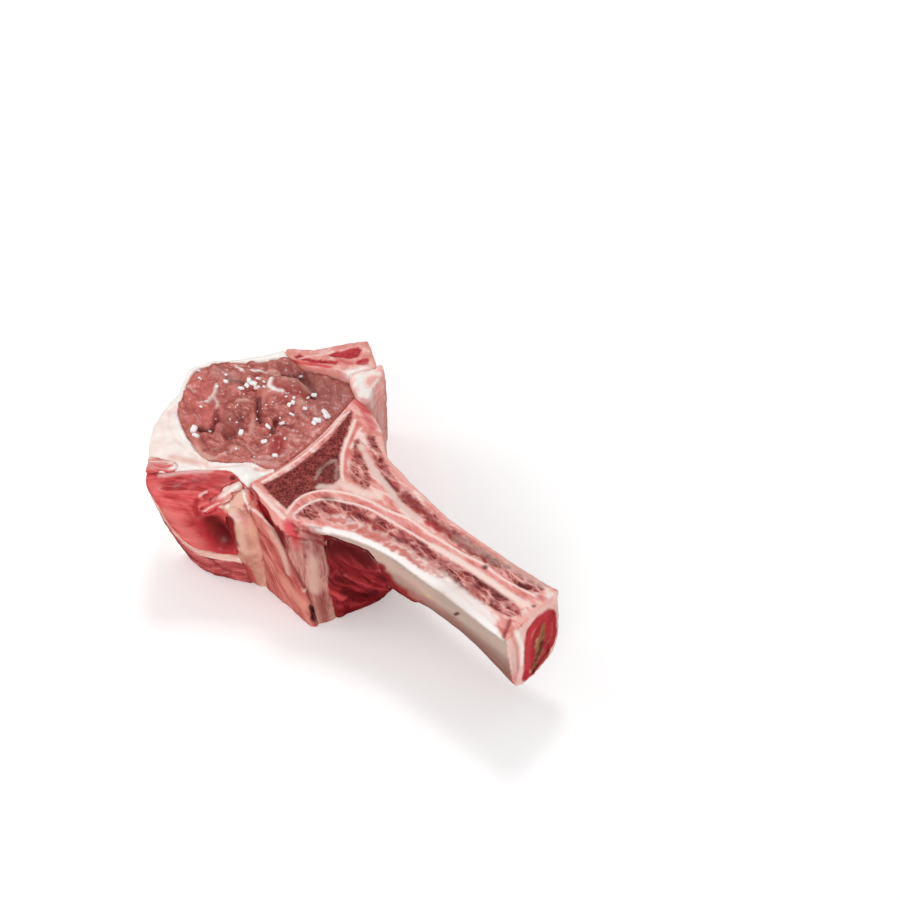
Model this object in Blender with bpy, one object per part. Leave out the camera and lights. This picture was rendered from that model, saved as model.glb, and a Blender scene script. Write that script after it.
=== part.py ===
"""Raw lamb cutlet: a rib chop that lies on its flat underside with the sawn face up.

Metres, +Z up, +X along the rib towards its sawn end. The origin is the middle of the
cutlet's box, at the underside. Outlines are drawn in millimetres and turned into metres
where a mesh is made. Run with: blender --background --python part.py
"""
import math
import random

import bmesh
import bpy
from mathutils import Vector, noise

MM = 0.001
MIDDLE = Vector((-3.2, 2.4))     # middle of the cutlet's box in the drawing, millimetres

# Driving dimensions, millimetres
THICKNESS = 36.0                 # underside to sawn face
GAP = 0.3                        # clearance between pieces that touch
CHANNEL_DEPTH = 6.0              # spongy bone in the rib, below the sawn face
FEATHER_RISE = 4.5               # how far the feather bone stands above the sawn face
FEATHER_CHANNEL_DEPTH = 4.0
END_PLUG_DEPTH = 3.0             # marrow that shows in the rib's sawn end
FLAP_FAT = 2.4                   # fat layer under the flap muscle
TENDON_RADIUS = 1.8
EYE_CELL = 2.0                   # mesh size of the eye's uneven top
GRAINS = 22                      # coarse salt on the eye
GRAIN_SIZES = (2.2, 1.0)         # largest and smallest grain
GRAIN_SPACING = 3.4              # least distance between two grains
GRAIN_LIFT = 0.22                # a grain's middle above the meat, as a share of its size
SALT_MIDDLE = Vector((-53.0, 3.0))
SALT_REACH = Vector((19.0, 17.0))
SALT_BOX = ((-72, -34), (-16, 20))
STRIP_UNDERSIDE = 30.0
MEAT_BULGE = 1.2                 # how far the meat's outer side stands out at half its height
WALL_BUMP, WALL_BUMP_REACH = 0.5, 9.0
EYE_RISE = 0.5                   # the eye's cut face stands this far above the sawn face
EYE_BUMPS = ((1.5, 11.0), (0.9, 5.0))   # height and reach of the bumps on it
CALM_EDGE, CALM_RUN = -27.0, 14.0       # its bumps fade out over this run, towards the vertebra
SPAN_STEPS = 3                   # curve points between two drawn points
WALL_LEVELS = 12                 # rings of mesh up the meat's outer side
BELOW, ABOVE = -2.0, THICKNESS + 5      # cutting solids reach from and to these heights

# A third entry marks a corner of an outline; the other points are smooth.
C = True

EYE_TOP = ((-76, -1), (-70, -9), (-64, -16), (-58, -19), (-50, -21), (-43, -22), (-39, -20),
           (-34, -14), (-27, -10.5), (-23, -6), (-25, 5), (-28, 18), (-33, 32), (-42, 32),
           (-52, 28), (-60, 25.5), (-64, 20), (-70, 11), (-74.5, 4))
EYE_BOTTOM = ((-70, -1), (-66, -8), (-61, -14), (-56, -17.5), (-50, -20), (-43, -21), (-39, -19.5),
              (-34, -14), (-27, -10.5), (-23, -6), (-25, 5), (-28, 18), (-33, 32), (-42, 32),
              (-52, 28), (-58.5, 24), (-61, 18.5), (-65.5, 10.5), (-69, 4))
MEAT_TOP = ((-77.2, -2), (-72.4, -9.4), (-69.6, -15), (-67.2, -20.6), (-64, -25.6), (-59.6, -30.4),
            (-55.2, -34), (-51, -38), (-46.5, -41.4), (-41.4, -41), (-37, -36), (-32.8, -31),
            (-29.4, -27), (-22, -22), (-18, -8), (-24, 22), (-38, 34), (-56, 32), (-63.5, 27),
            (-65.6, 21), (-71.6, 11.8), (-76, 4.5))
MEAT_BOTTOM = ((-71.7, -2), (-69.5, -8), (-67.5, -13.5), (-65, -19), (-61.5, -24), (-57, -28),
               (-52, -30.3), (-46, -31.5), (-40, -32), (-35, -31.5), (-31, -30), (-27.5, -28),
               (-24, -26), (-19, -22), (-18, -8), (-24, 22), (-38, 34), (-55, 31), (-60.3, 26),
               (-62.8, 19.5), (-67.3, 11), (-70.6, 4))
FLAP_PLAN = ((-54, -42), (-47.5, -36), (-44, -31), (-40, -26), (-36, -21.5), (-33, -19.6),
             (-29, -19.6), (-20, -21, C), (-20, -46, C), (-54, -50, C))
STRIP_PLAN = ((-58, -38, C), (-55, -34), (-49.5, -30.2), (-47, -29.8), (-45.3, -32.3),
              (-47.5, -34.6), (-53, -41, C))
VERTEBRA = ((-26.7, -18.8, C), (-16, -20), (-7.5, -20.3), (-5, -14), (-5, 0), (-5, 15), (-9, 19.6),
            (-14, 23.6), (-19, 26), (-25, 28), (-33.5, 28.6, C), (-31, 21), (-28, 11), (-26.2, 2),
            (-25.2, -8))
BODY_CORE = ((-23.6, -16.2, C), (-18, -17), (-10.8, -17.3, C), (-11.4, -14), (-11.6, -10),
             (-9.8, -4), (-9.4, 1.5), (-14, 6), (-19, 11), (-23.2, 17), (-26.6, 21.6), (-30, 24.6, C),
             (-26, 14), (-24, 7), (-22.8, -2), (-22.8, -10))
MID_CORE = ((-19.5, 17), (-15, 12), (-11.5, 8), (-8, 5.2), (-4, 4.2), (-1, 6.2), (-5, 9.8),
            (-11, 13.3), (-16, 16.6))
NEAR_CORE = ((-7, -17.2), (-4, -15.6), (-1, -12.6), (3, -9.6), (10, -6.8), (17, -4.8), (24, -3.8),
             (35, -2.7), (47, -1), (58, 1), (64, 3), (64.6, 5.8), (61, 7.4), (54, 7.6), (40, 5.3),
             (25, 3.3), (13, 1.6), (3, -0.8), (-3, -3.2), (-7.4, -7.5), (-8.6, -12))
FAR_CORE = ((-19, 21.6), (-11, 16.4), (-5, 13.4), (0, 11.6), (9, 10.3), (18, 10), (35, 10.4),
            (49, 12), (58, 13.3), (62.4, 14.6), (61.8, 16.8), (55, 16), (42, 14.8), (28, 13.8),
            (14, 13.7), (4, 14.2), (-2, 15.4), (-7, 17.4), (-13, 20.6))
FEATHER = ((-64.6, 27.2), (-60, 25.2), (-52, 25.4), (-47, 28.2), (-43, 30.2), (-38.9, 30.9, C),
           (-35.8, 39.8, C), (-47.6, 46.4, C), (-53.6, 38.5), (-57.6, 32))
FEATHER_FAT = ((-38.4, 31.2, C), (-36.5, 29.9), (-33.8, 29.1), (-29, 28.8), (-31.4, 34),
               (-33.4, 40.8, C), (-35.4, 41.6, C))
FEATHER_LINE = ((-60.5, 26.9), (-54, 27), (-49.5, 29.6), (-45.6, 32.8), (-50, 31.4), (-54.4, 28.6))
FEATHER_WIDE = ((-51.6, 33.4), (-47.6, 34.6), (-43.6, 37.6), (-44.6, 41.2), (-47.4, 42), (-50, 38))
FEATHER_SMALL = ((-41.6, 36.2), (-38.6, 36.8), (-38.8, 39.4), (-41, 40))

# Pieces on the near side, as (height, outline) from the floor up
SLAB = ((0, ((-21.4, -24.2), (-16.4, -20.8), (-17.2, -19.4), (-24, -21))),
        (15, ((-25.4, -26.4), (-18, -22.2), (-18.6, -19.6), (-28, -21.4))),
        (24, ((-28.2, -27), (-19.8, -23), (-20.4, -20), (-30, -22))),
        (31, ((-29, -26.2), (-23, -23.2), (-23.4, -20.4), (-30, -22))),
        (35, ((-28, -23.4), (-26.2, -22.2), (-25.8, -20.8), (-28.6, -20.8))))
LAMELLA_BACK = -20.2             # how far the lamella stands from the vertebra's middle
LAMELLA_THICKNESS = 2.2
# Leaf of tissue before the vertebra, as (height, left end, right end)
LAMELLA = ((0, -18, 5), (12, -19, 0.8), (20, -20, -5.4), (26, -21.4, -10), (32, -24.4, -18.5),
           (35.4, -27.8, -24.2))
SLIT_MEAT = ((0, ((-26, -19.9), (-16, -19.9), (-5, -19.9), (-6, -18.1), (-16, -18.2), (-25, -18))),
             (21, ((-26, -19.9), (-16, -19.9), (-7, -19.9), (-7, -18.1), (-16, -18.2), (-25, -18))),
             (27, ((-26, -19.3), (-16, -19.4), (-8, -19.4), (-8, -18.1), (-16, -18.2), (-25, -18))),
             (32.6, ((-26, -19), (-16, -19.2), (-9, -19.2), (-9, -18.1), (-16, -18.2), (-25, -18))))
COLUMN = ((0, ((-4, -19.9), (4.7, -19.7, C), (6, -14), (0, -11))),
          (15, ((-7.2, -19.8), (1.8, -19, C), (4.4, -14.5), (-3, -11))),
          (29, ((-9, -19.6), (-3, -17.8), (-1, -12.4), (-7, -12))))
INTERCOSTAL = (
    (0, ((-7, -12), (6, -14.6), (7.6, -10), (9.3, -1), (8, 5), (3, 8), (-7, 8), (-7, 0))),
    (15, ((-7, -12), (5.6, -15.2), (11, -11.4), (18.3, -7.2), (17, 2), (9, 11), (-7, 13), (-7, -2))),
    (24, ((-7, -12.5), (4.8, -13.6), (11, -10.9), (21.8, -7.2), (18, -3.5), (8, -1), (-7, -1), (-7, -6))),
    (29, ((-2, -13), (4, -12.8), (10.5, -10.7), (19, -7.8), (16, -5.5), (8, -4.5), (-2, -6), (-3, -9))),
    (32.5, ((0.8, -13.8), (4.4, -12.8), (10, -10.8), (15, -8.8), (14.6, -8), (9.4, -9.4), (4.4, -11),
            (1.2, -12.2))))
RIM = 1.2                        # bone left between the rib's spongy bone and the meat below it

# The rib, as (place along X, near edge, far edge, underside, how far the wall draws in below)
RIB = ((-14, -19, 22.6, 19, 1), (-7, -19.6, 18.9, 18, 1), (-3, -17.3, 18.1, 17.5, 1),
       (1, -14.6, 17.8, 17, 0.8), (5, -12.7, 17, 16.6, 0.6), (10, -10.9, 16.6, 16.4, 0.4),
       (16, -8.4, 16, 16.6, 0.6), (24, -6.5, 15.4, 17.4, 1.2), (36, -5.8, 16.2, 17.8, 2.2),
       (48, -5.2, 17.1, 17.2, 3), (60, -4.7, 18.4, 15.4, 2.6), (69.3, -4.2, 19.4, 13, 2))
END_SLANT = 0.17                 # the sawn end runs back by this much for each mm across
END_LEAN = 0.09                  # and forward by this much for each mm down

# Marrow in the sawn end, as (distance across from the near edge, height)
END_MARROW = ((9.2, 15.6), (14, 15.8), (19.8, 17), (22, 22), (21.8, 29), (19.4, 32.4), (13.4, 32),
              (10, 28), (8.8, 22))
END_CORE = ((13.4, 18.6), (17.6, 19.6), (19.2, 25), (18.2, 28.6), (15.4, 27.6), (13.4, 23))

# The flap's wall: its foot, its run in plan, and the roll of muscle that shows in it
WALL_START = Vector((-46.0, -41.0))
WALL_RUN = Vector((0.745, 0.667))
OUTER_SIDE = Vector((-1, -0.3)).normalized()    # way out of the fat on the eye's outer side
OUTER_SIDE_FROM = -55            # the meat's wall belongs to that side below this x
ROLL_DEPTHS = (-16, 44)          # where the roll starts and ends, along its run into the meat
FLAP_ROLL = ((-6, 46, C), (-6, 35), (0.5, 32.5), (3.6, 27), (7, 18.6), (12, 13), (18, 10.4), (25, 10.6),
             (34, 12), (44, 14, C), (44, 46, C))
TENDON = ((-27, -21, 35.6), (-28.4, -25, 34.8), (-30, -28.6, 32.4), (-32, -31.4, 29))

# Hollows and folds of the meat's outer side, as (place, depth, reach); folds have minus depth
WALL_RELIEF = (((-28.8, -28.4, 17), 3.2, 6.5), ((-33.5, -30.5, 30), -1.4, 3.4),
               ((-38, -35, 26), -1.0, 5.5), ((-49, -36.5, 30), 1.4, 3.0))

FINISHES = {
    "eye_muscle": ((0.43, 0.13, 0.11), 0.32),
    "fat_cap": ((0.93, 0.76, 0.66), 0.40),
    "strip_muscle": ((0.66, 0.25, 0.20), 0.38),
    "flap_muscle": ((0.45, 0.06, 0.06), 0.34),
    "flap_fat": ((0.80, 0.48, 0.38), 0.42),
    "flap_lower_muscle": ((0.40, 0.08, 0.07), 0.36),
    "fat_slab": ((0.66, 0.38, 0.26), 0.45),
    "tendon_band": ((0.78, 0.42, 0.34), 0.40),
    "lamella": ((0.72, 0.34, 0.27), 0.42),
    "slit_meat": ((0.16, 0.02, 0.02), 0.40),
    "chine_column": ((0.45, 0.16, 0.12), 0.45),
    "intercostal_meat": ((0.16, 0.02, 0.02), 0.36),
    "bone": ((0.72, 0.47, 0.38), 0.50),
    "body_marrow": ((0.24, 0.06, 0.05), 0.60),
    "mid_marrow": ((0.34, 0.10, 0.08), 0.60),
    "near_marrow": ((0.40, 0.13, 0.10), 0.58),
    "far_marrow": ((0.34, 0.14, 0.11), 0.58),
    "end_marrow": ((0.42, 0.10, 0.08), 0.50),
    "end_core": ((0.22, 0.09, 0.05), 0.65),
    "feather_bone": ((0.68, 0.28, 0.24), 0.48),
    "feather_fat": ((0.80, 0.46, 0.38), 0.40),
    "feather_marrow_line": ((0.45, 0.06, 0.06), 0.55),
    "feather_marrow_wide": ((0.50, 0.10, 0.09), 0.55),
    "feather_marrow_small": ((0.45, 0.08, 0.07), 0.55),
}


def clear_scene():
    """Remove every object that the file opens with."""
    for thing in list(bpy.data.objects):
        bpy.data.objects.remove(thing, do_unlink=True)


def place(x, y, z):
    """Turn a point of the drawing, in millimetres, into metres about the cutlet's middle."""
    return Vector((x - MIDDLE.x, y - MIDDLE.y, z)) * MM


def closed_curve(points, steps=SPAN_STEPS):
    """Smooth closed curve through drawn points, straight between two corners."""
    ring = []
    count = len(points)
    for index, start in enumerate(points):
        before, end, after = points[index - 1], points[(index + 1) % count], points[(index + 2) % count]
        a, b = Vector(start[:2]), Vector(end[:2])
        chord = b - a
        leave = chord if len(start) > 2 else (b - Vector(before[:2])).normalized() * chord.length
        arrive = chord if len(end) > 2 else (Vector(after[:2]) - a).normalized() * chord.length
        for step in range(steps):
            t = step / steps
            ring.append(a * (2 * t ** 3 - 3 * t ** 2 + 1) + leave * (t ** 3 - 2 * t ** 2 + t)
                        + b * (3 * t ** 2 - 2 * t ** 3) + arrive * (t ** 3 - t ** 2))
    return ring


def widened(ring, distance):
    """Move a ring outwards by a distance, mitred at its corners."""
    turn = sum(ring[index - 1].cross(point) for index, point in enumerate(ring))
    distance = math.copysign(distance, distance * turn)
    moved = []
    for index, point in enumerate(ring):
        inward = (point - ring[index - 1]).normalized()
        onward = (ring[(index + 1) % len(ring)] - point).normalized()
        side = Vector((inward.y + onward.y, -inward.x - onward.x))
        mitre = max(side.length / 2, 0.4)
        moved.append(point + side.normalized() * distance / mitre)
    return moved


def mesh_object(name, vertices, faces):
    """Object from vertices in metres; its four-sided faces are split into triangles."""
    mesh = bpy.data.meshes.new(name)
    mesh.from_pydata(vertices, [], faces)
    shape = bmesh.new()
    shape.from_mesh(mesh)
    bmesh.ops.triangulate(shape, faces=[face for face in shape.faces if len(face.verts) == 4])
    bmesh.ops.recalc_face_normals(shape, faces=shape.faces)
    shape.to_mesh(mesh)
    shape.free()
    thing = bpy.data.objects.new(name, mesh)
    bpy.context.collection.objects.link(thing)
    return thing


def loft(name, rings):
    """Closed solid through rings of equal length, given as points in metres."""
    size = len(rings[0])
    vertices = [point for ring in rings for point in ring]
    faces = []
    for level in range(len(rings) - 1):
        base = level * size
        for index in range(size):
            onward = (index + 1) % size
            faces.append((base + index, base + onward, base + size + onward, base + size + index))
    faces.append(tuple(reversed(range(size))))
    faces.append(tuple(range(len(vertices) - size, len(vertices))))
    return mesh_object(name, vertices, faces)


def prism(name, points, low, high, extra=0.0, top=None):
    """Upright solid on a drawn outline; top gives the height at (x, y) where it isn't level."""
    ring = widened(closed_curve(points), extra)
    upper = [place(p.x, p.y, (top(p.x, p.y) if top else high) + extra) for p in ring]
    return loft(name, [[place(p.x, p.y, low) for p in ring], upper])


def stack(name, levels, extra=0.0):
    """Solid through (height, outline) levels; the grown copy also reaches below the floor."""
    rings = []
    for order, (height, points) in enumerate(levels):
        ring = widened(closed_curve(points), extra)
        if extra and order == 0:
            rings.append([place(p.x, p.y, height + BELOW) for p in ring])
        lift = extra if order == len(levels) - 1 else 0
        rings.append([place(p.x, p.y, height + lift) for p in ring])
    return loft(name, rings)


def boolean(target, tool, operation):
    """Apply a Boolean with a tool object and remove the tool."""
    modifier = target.modifiers.new(operation.title(), "BOOLEAN")
    modifier.operation = operation
    modifier.object = tool
    apply_modifiers(target)
    bpy.data.objects.remove(tool, do_unlink=True)
    return target


def apply_modifiers(target):
    """Replace an object's mesh by what its modifiers make of it."""
    bpy.context.view_layer.update()
    graph = bpy.context.evaluated_depsgraph_get()
    shaped = bpy.data.meshes.new_from_object(target.evaluated_get(graph))
    target.modifiers.clear()
    target.data = shaped


def carve(target, *tools):
    """Cut each tool object out of the target."""
    for tool in tools:
        boolean(target, tool, "DIFFERENCE")
    return target


def through(points):
    """Cutting solid on a drawn outline, with clearance, from under the floor to above the cutlet."""
    return prism("cut", points, BELOW, ABOVE, GAP)


def keep_inside(target, tool):
    """Keep what lies inside the tool object."""
    return boolean(target, tool, "INTERSECT")


def keep_largest(target):
    """Drop loose scraps that cutting leaves beside the main body."""
    shape = bmesh.new()
    shape.from_mesh(target.data)
    islands = []
    unseen = set(shape.verts)
    while unseen:
        island = {unseen.pop()}
        edge_of_island = list(island)
        while edge_of_island:
            for edge in edge_of_island.pop().link_edges:
                for vertex in edge.verts:
                    if vertex in unseen:
                        unseen.remove(vertex)
                        island.add(vertex)
                        edge_of_island.append(vertex)
        islands.append(island)
    islands.sort(key=len, reverse=True)
    scraps = [vertex for island in islands[1:] for vertex in island]
    bmesh.ops.delete(shape, geom=scraps, context="VERTS")
    shape.to_mesh(target.data)
    shape.free()
    return target


def meat_envelope(extra=0.0):
    """Outer form of the eye, fat and flap, wider at the sawn face than at the floor."""
    top, bottom = closed_curve(MEAT_TOP), closed_curve(MEAT_BOTTOM)
    heights = [THICKNESS * level / WALL_LEVELS for level in range(WALL_LEVELS + 1)]
    rings = []
    for height in [BELOW] + heights + [THICKNESS - BELOW]:
        share = min(max(height / THICKNESS, 0), 1)
        ring = [b.lerp(t, share) for b, t in zip(bottom, top)]
        ring = widened(ring, extra + MEAT_BULGE * math.sin(math.pi * share))
        rings.append([place(*worn(p, height)) for p in ring])
    return loft("meat_envelope", rings)


def worn(point, height):
    """Move a point of the meat's outer side by its bumps, hollows and folds."""
    spot = Vector((point.x, point.y, height))
    depth = -WALL_BUMP * noise.noise(spot / WALL_BUMP_REACH)
    for centre, hollow, reach in WALL_RELIEF:
        distance = (spot - Vector(centre)).length / reach
        depth += hollow * math.exp(-distance * distance)
    outward = Vector((WALL_RUN.y, -WALL_RUN.x))
    if spot.x < OUTER_SIDE_FROM:
        outward = OUTER_SIDE
    moved = point - outward * depth
    return moved.x, moved.y, height


def relief_block():
    """Block whose upper face is the eye's uneven cut face."""
    low, high, foot = Vector((-80.0, -26.0)), Vector((-20.0, 36.0)), -5.0
    across, along = int((high.x - low.x) / EYE_CELL), int((high.y - low.y) / EYE_CELL)
    vertices, faces = [], []
    for j in range(along + 1):
        for i in range(across + 1):
            x, y = low.x + i * EYE_CELL, low.y + j * EYE_CELL
            vertices.append(place(x, y, THICKNESS + eye_height(x, y)))
    row = across + 1
    for j in range(along):
        for i in range(across):
            first = j * row + i
            faces.append((first, first + 1, first + row + 1, first + row))
    border = list(range(row))
    border += [j * row + across for j in range(1, along + 1)]
    border += [along * row + i for i in range(across - 1, -1, -1)]
    border += [j * row for j in range(along - 1, 0, -1)]
    start = len(vertices)
    vertices += [Vector((vertices[k].x, vertices[k].y, foot * MM)) for k in border]
    for index in range(len(border)):
        onward = (index + 1) % len(border)
        faces.append((border[onward], border[index], start + index, start + onward))
    faces.append(tuple(range(len(vertices) - 1, start - 1, -1)))
    return mesh_object("eye_block", vertices, faces)


def eye_height(x, y):
    """Height of the eye's cut face above the sawn face, level beside the vertebra."""
    spot = Vector((x, y, 3.0))
    bumps = sum(height * noise.noise(spot / reach) for height, reach in EYE_BUMPS)
    calm = min(max((CALM_EDGE - x) / CALM_RUN, 0.15), 1.0)
    return (bumps + EYE_RISE) * calm


def eye_muscle():
    """The eye: the large round muscle, with coarse salt pressed into its cut face."""
    piece = stack("eye_muscle", ((0, EYE_BOTTOM), (THICKNESS + 3, EYE_TOP)))
    keep_inside(piece, relief_block())
    carve(piece, through(VERTEBRA), feather("cut", GAP), feather_fat("cut", GAP))
    keep_largest(piece)
    return salted(piece)


def salted(piece):
    """Join seeded salt grains to the eye's cut face, the largest first."""
    draw = random.Random(11)
    spots = []
    while len(spots) < GRAINS:
        spot = Vector([draw.uniform(*span) for span in SALT_BOX])
        offset = spot - SALT_MIDDLE
        inside = (offset.x / SALT_REACH.x) ** 2 + (offset.y / SALT_REACH.y) ** 2 < 1
        if inside and all((spot - other).length > GRAIN_SPACING for other in spots):
            spots.append(spot)
    grains = bpy.data.collections.new("salt")
    bpy.context.scene.collection.children.link(grains)
    for order, spot in enumerate(spots):
        share = order / (GRAINS - 1)
        size = GRAIN_SIZES[0] * (1 - share) + GRAIN_SIZES[1] * share
        shape = bmesh.new()
        bmesh.ops.create_cube(shape, size=size * MM)
        for vertex in shape.verts:
            vertex.co *= draw.uniform(0.8, 1.1)
        bmesh.ops.triangulate(shape, faces=shape.faces)
        mesh = bpy.data.meshes.new("grain")
        shape.to_mesh(mesh)
        shape.free()
        grain = bpy.data.objects.new("grain", mesh)
        height = THICKNESS + eye_height(spot.x, spot.y) + GRAIN_LIFT * size
        grain.location = place(spot.x, spot.y, height)
        grain.rotation_euler = (draw.uniform(0, 1.5), draw.uniform(0, 1.5), draw.uniform(0, 3))
        grains.objects.link(grain)
    modifier = piece.modifiers.new("Salt", "BOOLEAN")
    modifier.operation = "UNION"
    modifier.operand_type = "COLLECTION"
    modifier.collection = grains
    apply_modifiers(piece)
    for grain in list(grains.objects):
        bpy.data.objects.remove(grain, do_unlink=True)
    bpy.data.collections.remove(grains)
    return piece


def grown_eye():
    """The eye's space in the fat round it."""
    piece = stack("cut", ((0, EYE_BOTTOM), (THICKNESS, EYE_TOP)), GAP)
    tall = prism("above", EYE_TOP, THICKNESS - 0.5, THICKNESS + 6, GAP)
    return boolean(piece, tall, "UNION")


def fat_cap():
    """Fat round the eye's outer side, the seam under the eye and the knob by the vertebra."""
    piece = meat_envelope()
    piece.name = "fat_cap"
    around = ((-90, -60, C), (0, -60, C), (0, 60, C), (-90, 60, C))
    keep_inside(piece, prism("keep", around, 0, THICKNESS))
    carve(piece, grown_eye(), through(VERTEBRA), feather("cut", GAP), feather_fat("cut", GAP),
          through(FLAP_PLAN), prism("cut", STRIP_PLAN, STRIP_UNDERSIDE - GAP, ABOVE, GAP),
          stack("cut", SLAB, GAP),
          lamella("cut", GAP), stack("cut", SLIT_MEAT, GAP), tendon("cut", GAP))
    return keep_largest(piece)


def strip_muscle():
    """Thin muscle between the fat cap and the flap."""
    piece = prism("strip_muscle", STRIP_PLAN, STRIP_UNDERSIDE, THICKNESS)
    return keep_largest(keep_inside(piece, meat_envelope()))


def flap_body(name):
    """Everything that belongs to the flap, before it is split into its layers."""
    piece = prism(name, FLAP_PLAN, 0, THICKNESS)
    keep_inside(piece, meat_envelope())
    carve(piece, stack("cut", SLAB, GAP), through(VERTEBRA), lamella("cut", GAP),
          stack("cut", SLIT_MEAT, GAP))
    return keep_largest(piece)


def roll(extra):
    """Roll of muscle in the flap, drawn on its wall and run straight into the meat."""
    inward = Vector((-WALL_RUN.y, WALL_RUN.x))
    rings = []
    for depth in ROLL_DEPTHS:
        ring = []
        for point in widened(closed_curve(FLAP_ROLL), extra):
            spot = WALL_START + WALL_RUN * point.x + inward * depth
            ring.append(place(spot.x, spot.y, point.y))
        rings.append(ring)
    return loft("roll", rings)


def flap_muscle():
    """Main muscle of the flap."""
    piece = keep_inside(flap_body("flap_muscle"), roll(0))
    return keep_largest(carve(piece, tendon("cut", GAP)))


def flap_fat():
    """Fat layer that wraps the main muscle of the flap."""
    piece = keep_inside(flap_body("flap_fat"), roll(GAP + FLAP_FAT))
    return keep_largest(carve(piece, roll(GAP), tendon("cut", GAP)))


def flap_lower_muscle():
    """Muscle under the flap's fat layer, on the floor."""
    piece = carve(flap_body("flap_lower_muscle"), roll(2 * GAP + FLAP_FAT))
    return keep_largest(piece)


def tendon(name, extra=0.0):
    """Pale band that runs down from the knob over the flap."""
    curve = bpy.data.curves.new(name, "CURVE")
    curve.dimensions = "3D"
    curve.bevel_depth = (TENDON_RADIUS + extra) * MM
    curve.bevel_resolution = 2
    curve.use_fill_caps = True
    spline = curve.splines.new("POLY")
    spline.points.add(len(TENDON) - 1)
    for point, drawn in zip(spline.points, TENDON):
        point.co = (*place(*drawn), 1)
    first, last = spline.points[0], spline.points[-1]
    run = (last.co - first.co).normalized() * extra * MM
    first.co -= run
    last.co += run
    source = bpy.data.objects.new(name, curve)
    bpy.context.collection.objects.link(source)
    bpy.context.view_layer.update()
    mesh = bpy.data.meshes.new_from_object(source.evaluated_get(bpy.context.evaluated_depsgraph_get()))
    bpy.data.objects.remove(source, do_unlink=True)
    shape = bmesh.new()
    shape.from_mesh(mesh)
    bmesh.ops.remove_doubles(shape, verts=shape.verts, dist=0.00001)
    bmesh.ops.recalc_face_normals(shape, faces=shape.faces)
    shape.to_mesh(mesh)
    shape.free()
    band = bpy.data.objects.new(name, mesh)
    bpy.context.collection.objects.link(band)
    return band


def tendon_band():
    """The pale band, cut off at the fat slab."""
    return keep_largest(carve(tendon("tendon_band"), stack("cut", SLAB, GAP), lamella("cut", GAP),
                              through(VERTEBRA)))


def fat_slab():
    """Beige fat that stands between the flap and the vertebra."""
    return keep_largest(carve(stack("fat_slab", SLAB), stack("cut", SLIT_MEAT, GAP)))


def lamella(name, extra=0.0):
    """Thin leaf of tissue in front of the vertebra, lower towards the rib."""
    front = LAMELLA_BACK - LAMELLA_THICKNESS
    levels = []
    for height, left, right in LAMELLA:
        levels.append((height, ((left, front + 0.6), (left + 1.4, front, C), (right - 1.2, front + 0.2, C),
                                (right, front + 1.2), (right - 0.6, LAMELLA_BACK, C),
                                (left + 0.4, LAMELLA_BACK, C))))
    return stack(name, levels, extra)


def chine_column():
    """Corner of the vertebra's base under the rib's root."""
    return keep_largest(carve(stack("chine_column", COLUMN), lamella("cut", GAP)))


def slit_meat():
    """Dark meat between the lamella and the vertebra."""
    return keep_largest(carve(stack("slit_meat", SLIT_MEAT), stack("cut", COLUMN, GAP)))


def intercostal_meat():
    """Dark meat of the rib gap, under the rib's root."""
    near_channel = THICKNESS - CHANNEL_DEPTH - 2 * GAP - RIM
    return keep_largest(carve(stack("intercostal_meat", INTERCOSTAL), stack("cut", COLUMN, GAP),
                              through(VERTEBRA),
                              prism("cut", NEAR_CORE, near_channel, THICKNESS, 2 * GAP + RIM)))


def end_place(across, height, depth):
    """Point of the rib's sawn end, from the near edge across and up, and into the bone."""
    last_x, near = RIB[-1][0], RIB[-1][1]
    x = last_x - END_SLANT * across + END_LEAN * (THICKNESS - height)
    return place(x - depth, near + across, height)


def rib():
    """The rib: a beam with a flat sawn face, drawn in and rounded below."""
    rings = []
    for order, (x, near, far, under, inset) in enumerate(RIB):
        section = ((near, THICKNESS, C), (near + inset * 0.25, THICKNESS - 8),
                   (near + inset, under + 3.4), (near + inset + 3.2, under + 0.3),
                   (far - 5, under), (far - 0.9, under + 4), (far, THICKNESS - 8), (far, THICKNESS, C))
        ring = []
        for point in closed_curve(section):
            if order == len(RIB) - 1:
                ring.append(end_place(point.x - near, point.y, 0))
            else:
                ring.append(place(x, point.x, point.y))
        rings.append(ring)
    return loft("rib", rings)


def end_plug(name, outline, depth, extra=0.0):
    """Plug set into the rib's sawn end."""
    ring = widened(closed_curve(outline), extra)
    out = 1.0 if extra else 0.0
    return loft(name, [[end_place(p.x, p.y, reach) for p in ring] for reach in (depth + extra, -out)])


def bone():
    """Vertebra and rib in one, with hollows for the spongy bone and marrow."""
    piece = prism("bone", VERTEBRA, 0, THICKNESS)
    boolean(piece, rib(), "UNION")
    channel = THICKNESS - CHANNEL_DEPTH - GAP
    carve(piece, stack("cut", COLUMN, GAP), stack("cut", INTERCOSTAL, GAP),
          stack("cut", SLIT_MEAT, GAP), stack("cut", SLAB, GAP), lamella("cut", GAP),
          through(BODY_CORE), prism("cut", MID_CORE, channel, ABOVE, GAP),
          prism("cut", NEAR_CORE, channel, ABOVE, GAP), prism("cut", FAR_CORE, channel, ABOVE, GAP),
          end_plug("cut", END_MARROW, END_PLUG_DEPTH, GAP))
    return keep_largest(piece)


def end_marrow():
    """Red marrow that shows in the sawn end, round its brown core."""
    piece = end_plug("end_marrow", END_MARROW, END_PLUG_DEPTH)
    return carve(piece, end_plug("cut", END_CORE, END_PLUG_DEPTH - 1, GAP))


def feather_top(x, y):
    """Height of the feather bone: level with the sawn face at its tip, proud at its root."""
    return THICKNESS + FEATHER_RISE * min(max((x + 64.0) / 24.0, 0), 1)


def feather(name, extra=0.0):
    """Outer form of the feather bone."""
    return prism(name, FEATHER, BELOW if extra else 0, 0, extra, feather_top)


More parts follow.
